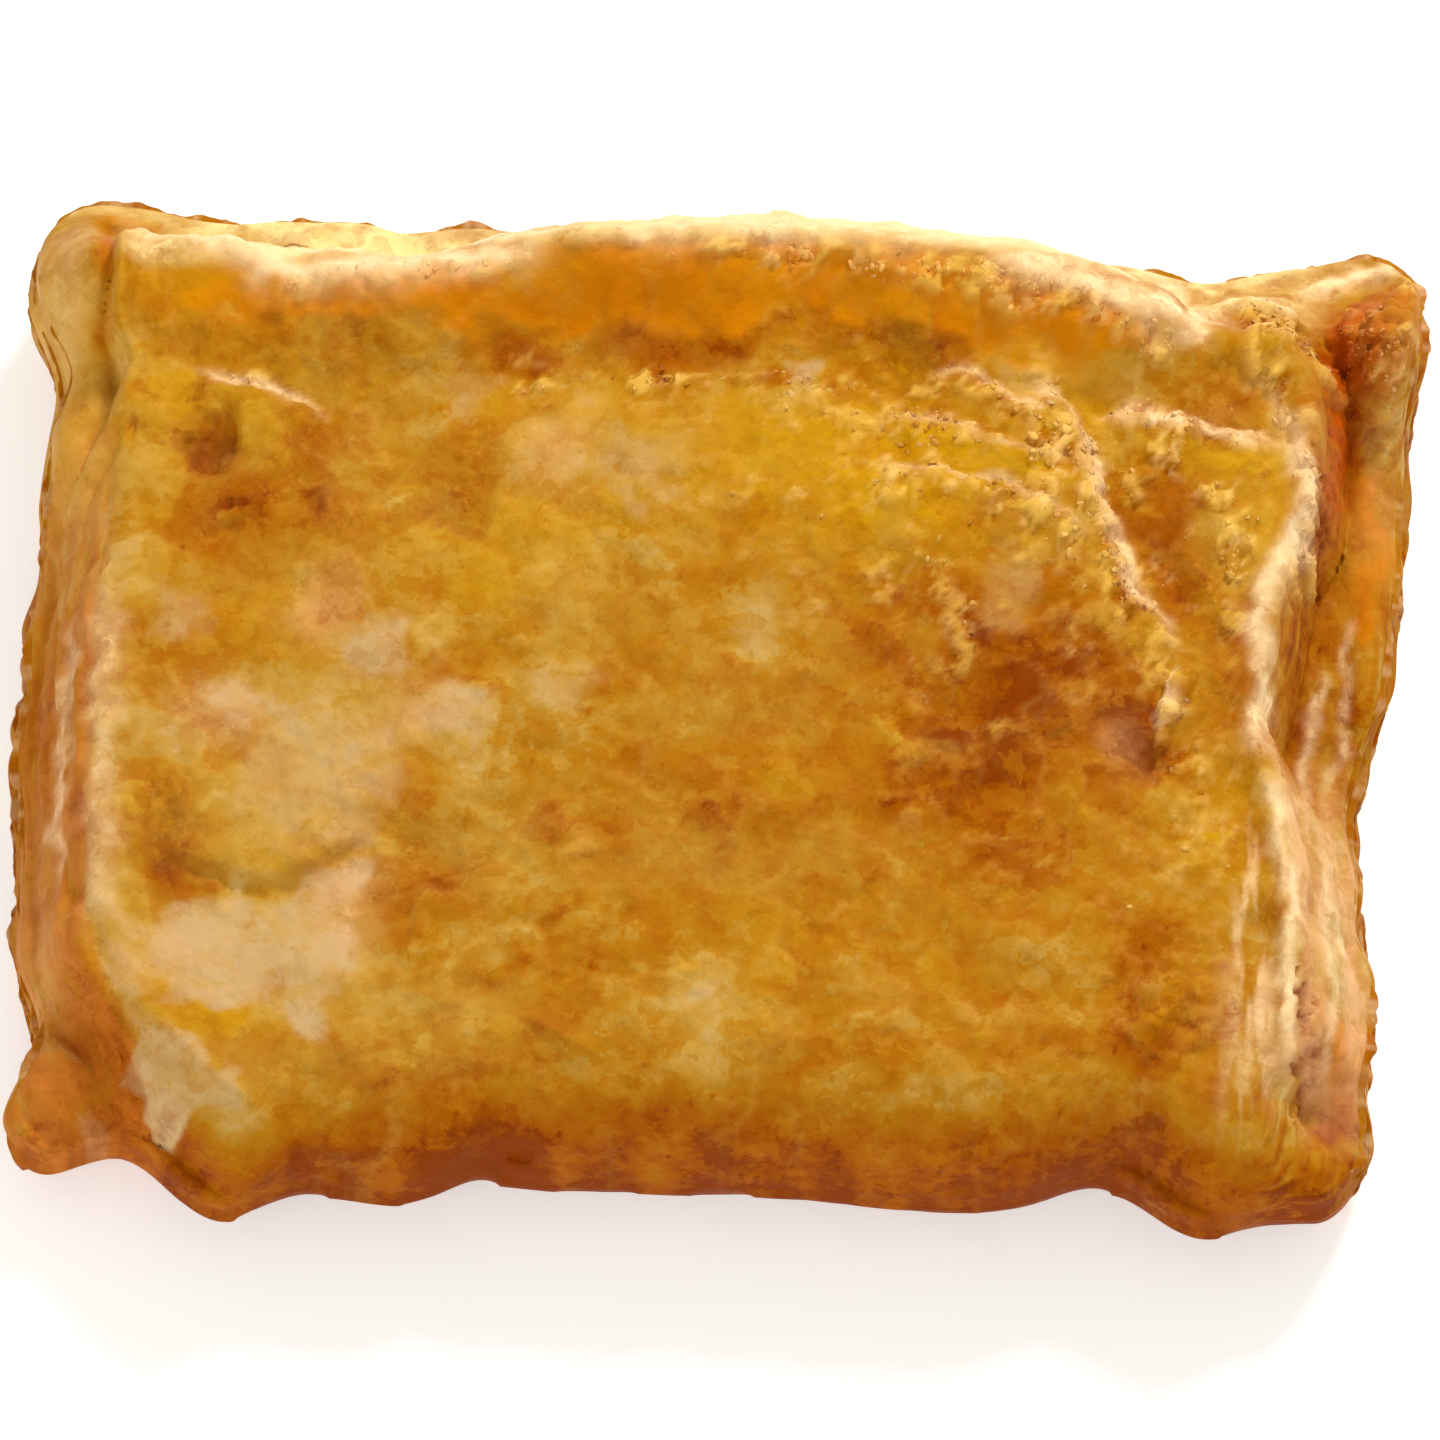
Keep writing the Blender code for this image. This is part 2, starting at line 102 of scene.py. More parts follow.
LAYERS_OUTER = (-6, 0)  # depths over which the layers begin, and shares of the wall
LAYERS_INNER = (1.15, 0.7)  # over which they end
LAYERS_BACK = (36, 26)
LEFT_PLAIN = 14.0  # how much sooner the layers end towards the back at the left
SWELL_BROAD = 0.55  # broad and small unevenness of the whole top, and its cells
SWELL_SMALL = 0.35
BROAD_CELL = 13.0
SMALL_CELL = 5.0

# Rings of the solid down its cut edge, and how much finer than the mean the cells of the
# top are at the rim.
RINGS = 8
RIM_FINENESS = 0.2

# How far the leaf edges stand out of the cut edge, ring by ring from the rim down.
LEAVES = (0.0, 0.9, 0.2, 1.3, 0.5, 1.4, 0.6, 0.7, 0.0)
LEAF_WAVES = 0.7  # how much that changes along the edge, and over what length
LEAF_WAVE_LENGTH = 5.0
FOLD_LEAVES = 0.25  # share of it that is left along the fold
FOLD_BULGE = 0.5  # how far the fold bulges half way down
FOLD_FACING = (0.55, 0.95)  # how much the edge faces the front where the fold begins
TUCK = 2.4  # how far the bottom corner of the cut edge is drawn in
FOLD_TUCK = 4.4  # the same under the round fold at the front
TUCK_FROM = 0.55  # share of the way down where it begins, and how much sooner at the fold
FOLD_TUCK_SOONER = 0.25
TUCK_OVER = 0.6

PLAN_SHIFT = (0.66, -0.75)  # centres the box of the uneven outline on the origin
LATTICE = 64  # cells along the side of a noise lattice before it repeats

# Where each side bulges out (+) or is notched (-): place along the side, half width, amount.
LEFT_BULGES = ((40, 7, 2.2), (29, 3.5, -1.6), (-3, 13, 1.4), (-35, 5, -2.4), (-42, 5, 1.2))
RIGHT_BULGES = ((38, 8, 1.6), (22, 8, 1), (-8, 8, -3.2), (-20, 3.5, -1.4), (-38, 6, -0.4))
BACK_BULGES = ((-60, 6, 0.8), (-40, 18, 1.2), (0, 20, 1.5), (42, 5, -1.4), (57, 8, 2.6))
FRONT_BULGES = (
    (-50, 6, -2.8), (-42, 6, 4.4), (-26, 6, 1.4), (-18, 3, -1.4), (0, 14, -0.6), (38, 5, -3),
    (47, 6, 2), (63, 3, -2),
)

# Width of the seal outside the pillow, and of the wall up to its crest: a first value,
# then steps along the side as (from, to, change).
LEFT_SEAL = (0.8, ((13, 25, 3.2), (31, 38, 2.2), (-28, -46, 9.8)))
RIGHT_SEAL = (0.4, ((-10, 0, 6.4), (12, 20, -2.2), (-30, -38, 4)))
BACK_SEAL = (1.5, ((-14, -32, 2.6), (24, 44, 2.5)))
LEFT_WALL = (7, ((13, 27, -4.6), (-18, -34, -2.6)))
RIGHT_WALL = (6.4, ((-10, 0, -2.4),))
BACK_WALL = (8.5, ((-40, -47, -5),))
SHOULDER = 2.1  # how round a wall turns into the top; nearer to 1 is sharper
RIGHT_SHOULDER = (2.1, ((-24, -8, -0.7),))
BACK_LEFT_ROUND = 4.0  # plan radii of the pillow's foot at its two back corners
BACK_RIGHT_ROUND = 18.0

# Lines here and below are rows of x, y, x, y and so on. Raised lips of pastry: height, half
# width, and the line they follow.
RIDGES = (
    (1, 1.1, 42.5, 1.5, 40.5, -2.5, 39.5, -7), (0.8, 1.3, -51, -33.5, -45, -39.5, -39, -44.5),
    (0.8, 1.2, -17, -33.5, -13, -36, -9, -38),
    (0.9, 1.2, 50.4, -11, 51.6, -20, 52, -28, 51.6, -37),
)

# Ledges where one sheet ends on the next: drop, half width, reach, and the line, whose
# left side is the high one.
LEDGES = (
    (2.8, 1, 7, 42, 2.5, 36.5, 8.8, 34.4, 14.5, 31.8, 21.5, 27, 29),
    (2, 0.9, 4.5, 52.5, 23, 46, 23.5, 40.5, 25, 35.5, 25.5, 32.5, 23.5),
    (1.8, 0.9, 4, -36, 22.6, -42, 25.4, -49, 27.6),
    (1.1, 0.9, 3.5, 31.5, 18.5, 26.7, 20.2, 20, 21.8, 13, 22.6),
    (0.9, 0.9, 3.5, 34.5, 11.5, 29.5, 14.7, 24.5, 16.5, 17, 17.4, 9, 16.6),
    (0.9, 0.9, 3, 29, 24.5, 24, 25.8, 19, 27.6), (1.4, 1.2, 5, -34, 33, -42, 31.5, -49, 33.5),
    (1.2, 0.9, 5, -51, -19, -40, -22, -30, -17), (1.1, 0.9, 4, -17, -19, -27, -21.5, -30, -17),
    (1, 1, 5, 28, -3, 21, -6, 15, -2),
)

# Spots here and below are rows of half sizes, centre and a turn in degrees where there is
# one, after an amount. Dents and burst blisters: their depth, negative for a bubble.
DENTS = (
    (1.6, 2.8, 4, -47.2, 20.4, -8), (1, 2.6, 1.4, -45, 12, 15), (1.8, 4, 6.5, 39, 14, 25),
    (1, 4, 2.6, 31.5, 27, -20), (1.4, 2, 3.2, 38.5, -7.5, 10), (0.9, 3, 2.4, -18.5, 32),
    (0.9, 3.2, 2.2, -6.5, 32.5), (0.8, 5, 2.4, 8, 33), (1, 7, 5, 22, -3, 20),
    (0.8, 5.5, 3.6, -26, -17.5, 12), (0.7, 4, 4, -51, -8), (-0.9, 7, 4, 18, 14, -15),
    (-0.8, 5, 5, -30, 3), (-0.9, 6, 4.5, -8, 20, 10), (-0.7, 8, 5, 5, -14), (-0.6, 6, 4, -8, -27),
    (-0.8, 6, 5, 30, -25, -20),
)

# Lumps on the sealed ends, by their height.
LUMPS = (
    (8.5, 6.5, 8.5, -59.5, 38.5), (8, 5.5, 8, -59.5, 23), (9.5, 4.6, 8, 60.5, 38, -20),
    (7, 5.5, 4, 47.5, 38, 15), (3, 5, 5, -59.5, -37.5), (3, 3.4, 5, 58.6, -32),
    (2.5, 4, 3.5, 55.5, -41.5), (3, 2.4, 9, 59, 8),
)

# Creases where the pillow meets a sealed end: depth, half width, and the line.
CREASES = (
    (2, 1.4, -57.6, 46, -57.3, 38, -57.4, 30), (3.6, 1.6, 56.2, 38, 55.5, 30, 55.5, 22, 55, 13),
    (2, 1.5, 41.5, 41, 41, 35.5, 43, 30), (2, 1.2, -60, 43.5, -54, 44.4, -42, 44.8),
    (2.4, 1.5, -58.6, -16, -56, -26, -51.5, -37, -48, -45),
    (1.8, 1.4, 53.6, -17, 53.8, -28, 53.4, -40),
)


# The finer mesh of the looks: grid cells across the top and rings down the cut edge.
FINE_COLUMNS = 318
FINE_ROWS = 240
FINE_RINGS = 14
BASE_SHARES = (0.985, 0.90, 0.66, 0.33)  # rings of the base, as shares of its outline
BASE_HOLLOW = 0.2  # how far they stand off the floor
BASE_PASSES = 400  # smoothing passes along them
HEADROOM = 0.9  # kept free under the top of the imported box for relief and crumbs
RIM_PASSES = 22  # smoothing passes here for each one on the coarse rim

# The looks can hold sharper ledges and lips than the coarse solid.
LEDGES = tuple((1.1 * drop, 0.5 * width, *rest) for drop, width, *rest in LEDGES)
RIDGES = tuple((1.1 * height, 0.6 * width, *rest) for height, width, *rest in RIDGES)
CREASES = tuple((0.6 * depth, 0.85 * width, *rest) for depth, width, *rest in CREASES)

RIDGES += (
    (2.3, 2, -57.6, 44, -57.5, 34, -57.4, 22), (1.5, 1.8, 56.4, 44, 55.6, 32, 55.2, 20, 54.6, 12),
    (0.7, 1, 51, 44, 55, 45.4, 58.4, 46.8, 61, 47.6),
)

# Burst blisters with a crisp rim, by their depth.
HOLES = (
    (0.8, 2.6, 3.5, -47, 20.8, -8), (0.5, 2.4, 0.8, -45.4, 14.2, 20), (0.5, 0.6, 1.8, -54.5, 21.5),
    (0.4, 0.9, 1.2, 38.6, -7.4, 20),
)
# Rows of small holes in the walls, painted dark inside as shade: how many, half width of
# the row, and its line.
HOLE_ROWS = ((17, 0.9, 53.6, -27, 54, -32, 53.2, -39.5), (10, 0.8, 54.6, 30, 54.4, 22, 53.2, 14))

# Pastry flakes of the top sheet: how many, and their radii and lift.
FLAKE_COUNT = 620
FLAKE_SMALLEST = 1.2
FLAKE_LARGEST = 8.5
FLAKE_LIFT = 0.26

# Where the top is browner (+) or paler (-) than the mean. The paler spots on the top left
# lump, at (-61.5, 36), and on the right flange, at (60.2, 30), are painted light on sides
# that face away from the lamps.
BROWNING = (
    (-0.26, 13, 10, -34, -8, 10), (-0.42, 9.5, 5.5, -40, -28, -8), (-0.2, 4.5, 3.5, -49, -28),
    (-0.12, 7, 4.5, -13, 17), (-0.08, 5, 4.5, -15, 7), (-0.18, 2.6, 3.4, 2.5, 3.5),
    (-0.16, 4, 4, -13, -3), (-0.12, 5, 4, -31, 1), (-0.14, 4, 5, -25, 23),
    (-0.3, 2, 9.5, -47.5, -37.5, 47), (0.16, 4, 7.5, -48.5, -18), (0.18, 8, 2.8, -40, -37, -8),
    (0.3, 5.4, 3.4, -26, -24, 10), (0.16, 7, 5, -27, -13), (0.34, 12, 9, 32, -2, 10),
    (0.14, 9, 7, 16, -10), (0.1, 12, 7, 12, -24), (0.16, 12, 6, 16, 6), (0.14, 9, 8, 24, -9),
    (0.22, 4.5, 3.4, 40, -25), (0.14, 9, 6, 38, -35), (0.42, 2.8, 6.5, 39.4, 13.5, 22),
    (0.22, 3, 3, 30, 5), (0.22, 3, 4, 42, 9), (0.24, 2.6, 2.8, 38.5, -7),
    (0.38, 2.8, 2, -18.2, 28.6), (0.38, 3.6, 3, -8, 30), (0.4, 4.5, 2.6, -1, 29.6),
    (0.34, 7.5, 2.6, 12, 30.4, -5), (0.16, 4, 3, 17, 27), (0.08, 14, 5, -38, 11),
    (0.07, 6, 9, -47, -6), (0.16, 5.5, 2.6, -46, 31), (0.22, 3.2, 2.2, -34, 32),
    (0.34, 2.8, 3.4, -47.4, 22, -5), (0.24, 4, 4.5, -45.6, 14.6), (-0.04, 4, 4, -40.5, 20),
    (0.1, 3, 8, -51, 14), (-0.24, 4.5, 9, -61.5, 36), (0.2, 1.6, 4, -59.4, 39),
    (0.12, 3.4, 7, -50.5, -11), (0.12, 3.4, 6, 38.5, -29), (-0.08, 3, 3, 30.5, -22),
    (-0.07, 3.4, 3.4, 32, -38), (0.08, 4, 3, 24, -13), (-0.07, 3, 3, 16, -20),
    (0.08, 3, 4, 3, -16), (0.09, 3.4, 2.6, -8, -29), (-0.08, 4, 3, -17, -24),
    (0.26, 3.2, 6, 58.6, 39, -15), (-0.22, 3, 6, 60.2, 30), (-0.14, 3, 7, -60.5, 15),
    (0.06, 6, 14, 40, -14), (0.06, 6, 4, 31, -31), (0.06, 10, 4, 9, -6), (0.2, 5, 5, -22, 14),
    (0.14, 5, 4.5, 13, 22), (0.05, 9, 4, -9, 23), (0.06, 5, 4, -22, -34), (0.08, 5, 4, 14, -34),
    (-0.1, 5, 4, 40, 31.5), (-0.15, 4, 4, 31, 14), (0.05, 5, 4, -14, 5), (-0.08, 3.5, 6, -59, -33),
    (0.2, 4, 3, -58.5, -44.5), (0.06, 8, 8, 37, -19), (-0.14, 4, 7, -60, 33),
    (0.26, 5, 2, 49.5, 35.6), (0.14, 3, 5, -60.4, 38),
)

# Where fat and egg make the top yellow, where it is the colour of straw between the pale
# patches, and where it is crumbly.
YELLOWING = (
    (0.6, 6, 3.6, 14, 23), (0.6, 4, 8, -60, 32), (0.9, 15, 5.5, 11, 16.5),
    (0.8, 6.5, 2.4, 44.5, 21.4), (0.7, 4, 5, 31.5, 26), (0.9, 6, 2, 24, 19.4, -12),
    (0.7, 1.6, 9, 48.6, 12, 8), (0.4, 9, 3, -43, 25.5, -10), (0.4, 8, 2.5, -44, -34, -25),
    (0.3, 5, 9, -37, -12), (0.3, 8, 7, -18, 12), (0.3, 8, 4, 47, -10), (0.5, 12, 3, -48, 37),
    (0.6, 7, 1.6, -22, 36.4), (0.6, 5, 1.6, 11, 36.2), (0.8, 1.8, 9, -64.2, 34),
    (0.6, 2.4, 5, -61.5, 21), (0.7, 4, 2, 48.5, 39.6), (0.7, 3, 1.6, 56, 45.8),
    (0.4, 3, 3, -22, 24.5), (0.5, 4, 3, -14, 23), (0.6, 5, 2.5, 4, 22),
)
STRAW = (
    (0.6, 7, 5, -40, -20), (0.9, 11, 3.6, -39, -39, -8), (0.6, 9, 4, -23, -36),
    (0.5, 7, 4, -21, -18), (0.2, 16, 4, -6, -19), (0.5, 5, 9, -37, -12), (0.25, 9, 7, -28, 14),
    (0.5, 4, 6, 46.5, 15), (0.7, 8, 3, -30, -32, -10),
)
CRUMBLING = (
    (0.8, 10, 5, 24, 21.5, -18), (0.7, 5, 3, 24, 26.5), (0.8, 9, 4.5, 43, 22), (0.7, 6, 7, 45, 12),
    (1, 4.5, 7, 59, 38, -15), (1, 8, 4.5, 48.5, 37, -10), (0.4, 2.5, 3.5, 41.5, 3),
    (0.3, 3, 3, 38.5, -7), (0.3, 14, 7, 8, 17), (0.35, 16, 12, 22, 4), (0.3, 8, 20, 42, -18),
    (0.4, 20, 3.5, -6, 27),
)
# Lines of crumbs: share, half width, line.
CRUMB_LINES = (
    (0.9, 1.4, -12, 37.4, 8, 36.6, 23.6, 34.8, 34.8, 32.6, 43, 30.4),
    (0.9, 2.8, 44.5, 35.6, 49, 37, 52, 36.6),
    (0.9, 1.4, 27, 28, 31, 22, 33.8, 14, 36, 8, 41.5, 2.5),
    (0.8, 1, 33, 25, 38, 25.4, 43, 24, 50, 23),
    (0.7, 1.1, 13.5, 16.8, 18, 17.2, 24.5, 16.2, 33.5, 12),
    (0.65, 1.2, 14, 22.4, 20, 21.6, 27, 19.8, 31.5, 18), (0.8, 1.2, 19, 27.2, 24, 25.4, 29, 24.2),
    (0.9, 1, 46, 33, 50.4, 28, 52.4, 22, 52, 14, 50.6, 8),
    (0.3, 0.8, 42.5, 1.5, 40.5, -2.5, 39.5, -7), (0.7, 0.9, -43, 34, -38, 36, -28, 35.5, -16, 36),
    (0.6, 0.9, -48, 28.2, -42, 26, -37, 23.6), (0.35, 1, -22, 26.5, -12, 26.5, 0, 26, 12, 26),
    (0.25, 1, -55.8, 12, -56, 0, -56, -18),
)

# Painted highlights: pale cream along the crests, ridges and rims that face the light,
# where bare layers also show: share, half width, line.
HIGHLIGHT_LINES = (
    (1, 1.6, -57, 41, -50, 41.2, -45.5, 40.4, -41.5, 37, -35, 36.8, -18, 38.4),
    (1, 2.2, -22, 40, 0, 40.2, 18, 40, 34, 39.8, 42, 38.6),
    (1, 1.6, -46, 42.4, -38, 41, -28, 40.2, -8, 40.4),
    (1, 0.95, 46, 30.5, 51, 25.4, 51.9, 20, 51.1, 14, 49.6, 10, 48.6, 4.3, 48.3, -1, 48.8, -5,
     49.9, -8.7), (1, 1.3, 50, 44, 55, 46, 58.4, 47, 62, 48),
    (0.7, 0.4, 41.8, 2, 40.6, -1.5, 39.4, -5),
    (1, 0.8, 49, -7.5, 50.4, -12, 51.6, -19, 52, -28, 51.4, -38),
    (0.6, 0.6, 54.8, -9, 55.8, -18, 56.2, -28, 55.4, -36), (0.5, 0.5, 57, 14, 56.6, 4, 55.8, -5),
    (0.5, 0.6, 54.4, 8, 53.6, 0, 53, -8),
    (1, 1.6, -45.5, 38.6, -42.5, 37, -34, 36.6, -24.3, 36.6, -15, 37.6),
    (0.2, 1.4, -15, 38.2, 3, 38.2, 20, 37.6), (1, 1.6, 20, 37.2, 30, 36.2, 39.5, 34, 44, 33),
    (1, 1.7, 36, 46.6, 39.6, 44, 41.4, 38, 42.4, 32), (0.8, 0.7, 44.6, 41.6, 48, 41, 52.4, 39.6),
    (1, 0.7, 26.8, 29.6, 30.4, 24.4, 32.4, 21, 34.8, 14, 37, 8.6, 42.2, 2.6),
    (0.9, 0.6, 32.8, 24.2, 36.5, 25.9, 41, 25, 46, 23.6, 52, 23.2),
    (0.8, 0.6, -49, 28, -42, 25.8, -36, 23), (0.35, 0.5, 12, 23, 20, 22, 27, 20.4, 32, 18.6),
    (0.5, 0.5, 13.5, 17.4, 18, 17.8, 24.5, 16.8, 34, 12),
    (0.6, 0.5, 18, 27.8, 24, 26.2, 29.5, 24.6),
    (0.45, 1.4, -56, 12, -55.8, -5, -55.2, -17, -54.6, -28.5),
    (0.25, 2.4, -61, 45, -62, 36, -61.6, 27), (0.5, 0.5, -59.2, 6, -59, -8, -59.6, -22),
)
# Pale patches, where the egg glaze is missing: share, width of the fade at their edge,
# corners counter-clockwise.
PALE_FACETS = (
    (1, 1.6, -51.5, -26, -49.2, -33.6, -33.6, -38, -30.6, -27, -31, -19),
    (1, 0.7, -51.6, -32, -51.4, -41, -46, -44, -38, -46, -48.4, -34.4),
    (0.85, 2.4, -47, -3, -45.4, -9, -36, -9.6, -36, -3),
    (0.9, 2.4, -36, 4.6, -35, -2.6, -26, -3, -25.6, 4),
    (0.5, 2.4, -52.4, 8, -52, 0.4, -45.4, 0, -45, 7),
    (0.55, 2.4, -44.6, -3.6, -44, -18, -37, -20.6, -30, -19, -28.6, -6),
    (0.85, 2.4, -26.4, -2.4, -27.2, -9.2, -21.6, -10, -20.4, -3),
    (0.65, 2.4, -36, -5.6, -35, -15.6, -27.2, -16.4, -26.6, -6.4),
    (0.5, 2.4, -45, -9.6, -43, -16.4, -36, -16.4, -35.6, -9),
    (0.12, 2.4, -17.4, 9.8, -17.6, 2.4, -12, 2.4, -12.2, 10),
    (0.5, 2.4, -12, 21.8, -12.6, 14, -4.4, 13.4, -4, 20.6),
    (0.9, 1.4, 2.8, 28.6, 2.6, 23.4, 7.4, 23.2, 7.6, 28.4),
    (0.3, 1.8, 24.2, 12.4, 24, 3.4, 28, 2.8, 28.6, 12.4),
    (0.6, 1.4, -11.4, 21.6, -11.2, 12.4, -8, 12, -8, 20.8),
    (0.5, 2.4, -25.4, 27.4, -25.6, 21.4, -20.6, 21.2, -20.4, 27.2),
    (0.4, 2.4, -14.4, 27, -14.6, 23.4, -10, 23.2, -9.8, 26.8),
    (0.5, 2.4, 0.2, 6.4, 0, -0.2, 4, -0.6, 4.4, 6.6),
    (0.5, 2.4, -18, -0.6, -18, -6, -10.4, -6.4, -9.6, -1),
)
# Smooth amber glaze, and painted shade on the band below the back crest that faces away
# from the light and in the groove behind the crest: share, half width, line.
AMBER_AND_SHADE_LINES = (
    (1, 2.8, -58, 37, -44, 35, -20, 34.4, 0, 34.6, 20, 33.2, 32, 31.6, 41, 30),
    (0.35, 0.9, -60, 43.6, -54, 44.6, -40, 45), (1.1, 1.9, 58, -28.5, 58.5, -32, 58.2, -36.5),
    (0.45, 2.2, 59, 31, 59, 18, 58.4, 6),
)
# Painted shade: deep red-orange in the creases between the pillow and its ends.
CREASE_SHADE_LINES = (
    (1, 2, 57.2, 44, 56.4, 37, 55, 30, 54.4, 24, 53.6, 17),
    (0.45, 0.8, -57.4, 46, -57.2, 38, -57.4, 29),
    (0.3, 1.2, -58.6, -16, -56.4, -26, -53, -35, -49, -46),
    (0.45, 1, 58.2, -34.5, 57.2, -37.5, 54.6, -41),
)
# Browner stretches of the side walls: how much, half width, line.
BROWN_LINES = (
    (0.34, 2, -51, -19.4, -47, -22.4, -42, -23.4), (0.2, 1, -42, -23, -38, -22.4, -33, -19.4),
    (0.26, 2.2, 54.6, 26, 53.6, 14, 52, 4, 51.4, -3, 52.4, -10),
    (0.16, 1.4, 58, 20, 57.4, 6, 56.4, -4), (0.3, 0.7, 53.6, -14, 53.8, -28, 53.2, -42),
    (-0.26, 6, 55, -6, 56, -18, 55, -30), (0.1, 0.5, 50, -16, 50.2, -28, 49.4, -42),
    (0.3, 2.2, 58.8, -26, 59, -34, 57.8, -40), (0.2, 2.2, -60.6, 12, -60.6, -8, -61, -30),
    (0.3, 1, -57.6, 8, -57.6, -8, -57.2, -22, -54, -34, -50, -44),
    (0.3, 1.1, 58.2, -34.5, 57.2, -37.5, 54.6, -41),
)
# Where the pastry is a pale pink, by its share.
PINK_SPOTS = (
    (0.35, 5, 3, -48, -29, 10), (0.25, 3, 14, -60.5, -26), (0.3, 3, 8, -59.5, 18),
    (0.25, 2.4, 8, 60, 27), (0.6, 3, 4, -33, -24), (0.5, 3, 3, -36, 4), (0.5, 3, 2.5, -27, -6),
    (0.5, 4, 3, -46, -6), (0.5, 3.5, 3, -16, 19), (0.4, 1.6, 2.6, 36.4, -6),
)

# How brown the top is on the mean, and the browner foot of the fold: bake and painted shade.
MEAN_BROWN = 0.47
FOLD_BROWN_AND_SHADE = 0.40
# Height of the small relief: crumb beads, ribs between them, fine and broad grain, layers,
# wrinkles behind the crest, folds of the front corners, scraps of crumb. The folds spread
# over the spots in FEET.
BEAD_RELIEF = 0.40
SMALL_BEAD_RELIEF = 0.30
RIB_RELIEF = 0.4
GRAIN_RELIEF = 0.16
BROAD_RELIEF = 0.28
STREAK_RELIEF = 0.5
BACK_RELIEF = 0.55
FOOT_RELIEF = 0.7
DAB_RELIEF = 0.38
FEET = ((5, 12, -57, -37, -12), (4.5, 9, 58, -39, 12))

# Crumbs and the leaves of the sealed edges.
CRUMB_COUNT = 1000
CRUMB_RADIUS = 0.22
LEAF_COUNT = 8
LEAF_THICKNESS = 0.55

# Colours as the crust reflects them, from barely baked to nearly burnt. The first two
# are the ends of the ramp.
BAKED_COLOURS = (
    (0, (0.6, 0.4, 0.165)), (1, (0.24, 0.04, 0.001)), (0.22, (0.53, 0.3, 0.052)),
    (0.44, (0.465, 0.198, 0.008)), (0.64, (0.42, 0.138, 0.003)), (0.82, (0.36, 0.088, 0.001)),
)
# Masks that tint it further: name, colour, strength. The pale, cream, edge and bead masks
# paint highlights, the deep mask paints shade, and the amber and dab masks are partly
# painted shade and highlight.
OVERLAYS = (
    ("straw", (0.55, 0.33, 0.055), 0.5), ("amber", (0.63, 0.2, 0.001), 1.1),
    ("yellow", (0.6, 0.3, 0.004), 0.85), ("rust", (0.54, 0.16, 0.015), 0.85),
    ("bare", (0.585, 0.39, 0.185), 0.9), ("dab", (0.84, 0.5, 0.09), 0.72),
    ("pink", (0.8, 0.44, 0.21), 0.75), ("cream", (0.98, 0.76, 0.34), 0.9),
    ("pale", (0.98, 0.71, 0.4), 0.95), ("edge", (0.66, 0.36, 0.06), 0.25),
    ("bead", (0.98, 0.62, 0.22), 0.85), ("deep", (0.5, 0.08, 0.001), 0.9),
)
GLOSS_TINT = (1.0, 0.72, 0.22, 1.0)
# The scraps of its mosaic: cell of the noise that makes them ragged, and by how much.
SCRAP_WAVE = 0.6
SCRAP_RAGGED = 1.6

# Light and view.
SKY_STRENGTH = 0.58
SKY_COLOUR = (1.0, 0.94, 0.82, 1.0)
FLOOR_SIZE = 12.0
FLOOR_COLOUR = (0.88, 0.88, 0.87, 1.0)
FLOOR_GLOW = 0.4
GLOW_COLOUR = (0.86, 0.93, 1.0, 1.0)
LIGHTS = (
    ("key", 25, 45, 0.9, 0.2, 5.5, (1, 0.98, 0.92)),
    ("fill", 205, 40, 1.1, 0.8, 3.6, (1, 0.95, 0.86)),
)
SENSOR = 36.0
CAMERA_DISTANCE = 1600.0
CAMERA_ELEVATION = 66.0
CAMERA_ROLL = 2.3
FRAME_WIDTH = 130.9
AIM_HEIGHT = 12.0


def unit(value):
    """Limits values to the range from 0 to 1."""
    return np.clip(value, 0.0, 1.0)


def fade(low, high, value):
    """Rises smoothly from 0 where the value is low to 1 where it is high."""
    share = unit((value - low) / (high - low))
    return share * share * (3.0 - 2.0 * share)


def hill(distance, width):
    return np.exp(-((distance / width) ** 2))


def value_noise(x, y, cell, seed):
    """Smooth random values from -1 to 1 on a lattice with cells of that size."""
    lattice = np.random.default_rng(seed).uniform(-1.0, 1.0, (LATTICE, LATTICE))
    column, row = np.floor(x / cell), np.floor(y / cell)
    across, up = fade(0, 1, x / cell - column), fade(0, 1, y / cell - row)
    column, row = column.astype(int) % LATTICE, row.astype(int) % LATTICE
    right, above = (column + 1) % LATTICE, (row + 1) % LATTICE
    low = lattice[column, row] * (1 - across) + lattice[right, row] * across
    high = lattice[column, above] * (1 - across) + lattice[right, above] * across
    return low * (1 - up) + high * up


def fractal(x, y, cell, seed):
    """Three octaves of that noise."""
    total = np.zeros_like(x)
    for octave in range(3):
        total += value_noise(x, y, cell / 2**octave, seed + octave) / 2**octave
    return total / 1.5


def bulged(along, bulges):
    return sum(amount * hill(along - place, width) for place, width, amount in bulges)


def stepped(along, first_and_steps):
    first, steps = first_and_steps
    return first + sum(change * fade(start, end, along) for start, end, change in steps)


def left_edge(y):
    return LEFT_X - bulged(y, LEFT_BULGES) - 0.35 * value_noise(y, y * 0, 5.0, 11)


def right_edge(y):
    return RIGHT_X + 0.02 * y + bulged(y, RIGHT_BULGES) + 0.35 * value_noise(y, y * 0, 4.0, 12)


def back_edge(x):
    return BACK_Y + bulged(x, BACK_BULGES) + 0.3 * value_noise(x, x * 0, 5.0, 13)


def front_edge(x):
    return FRONT_Y - bulged(x, FRONT_BULGES) - 0.3 * value_noise(x, x * 0, 6.0, 14)


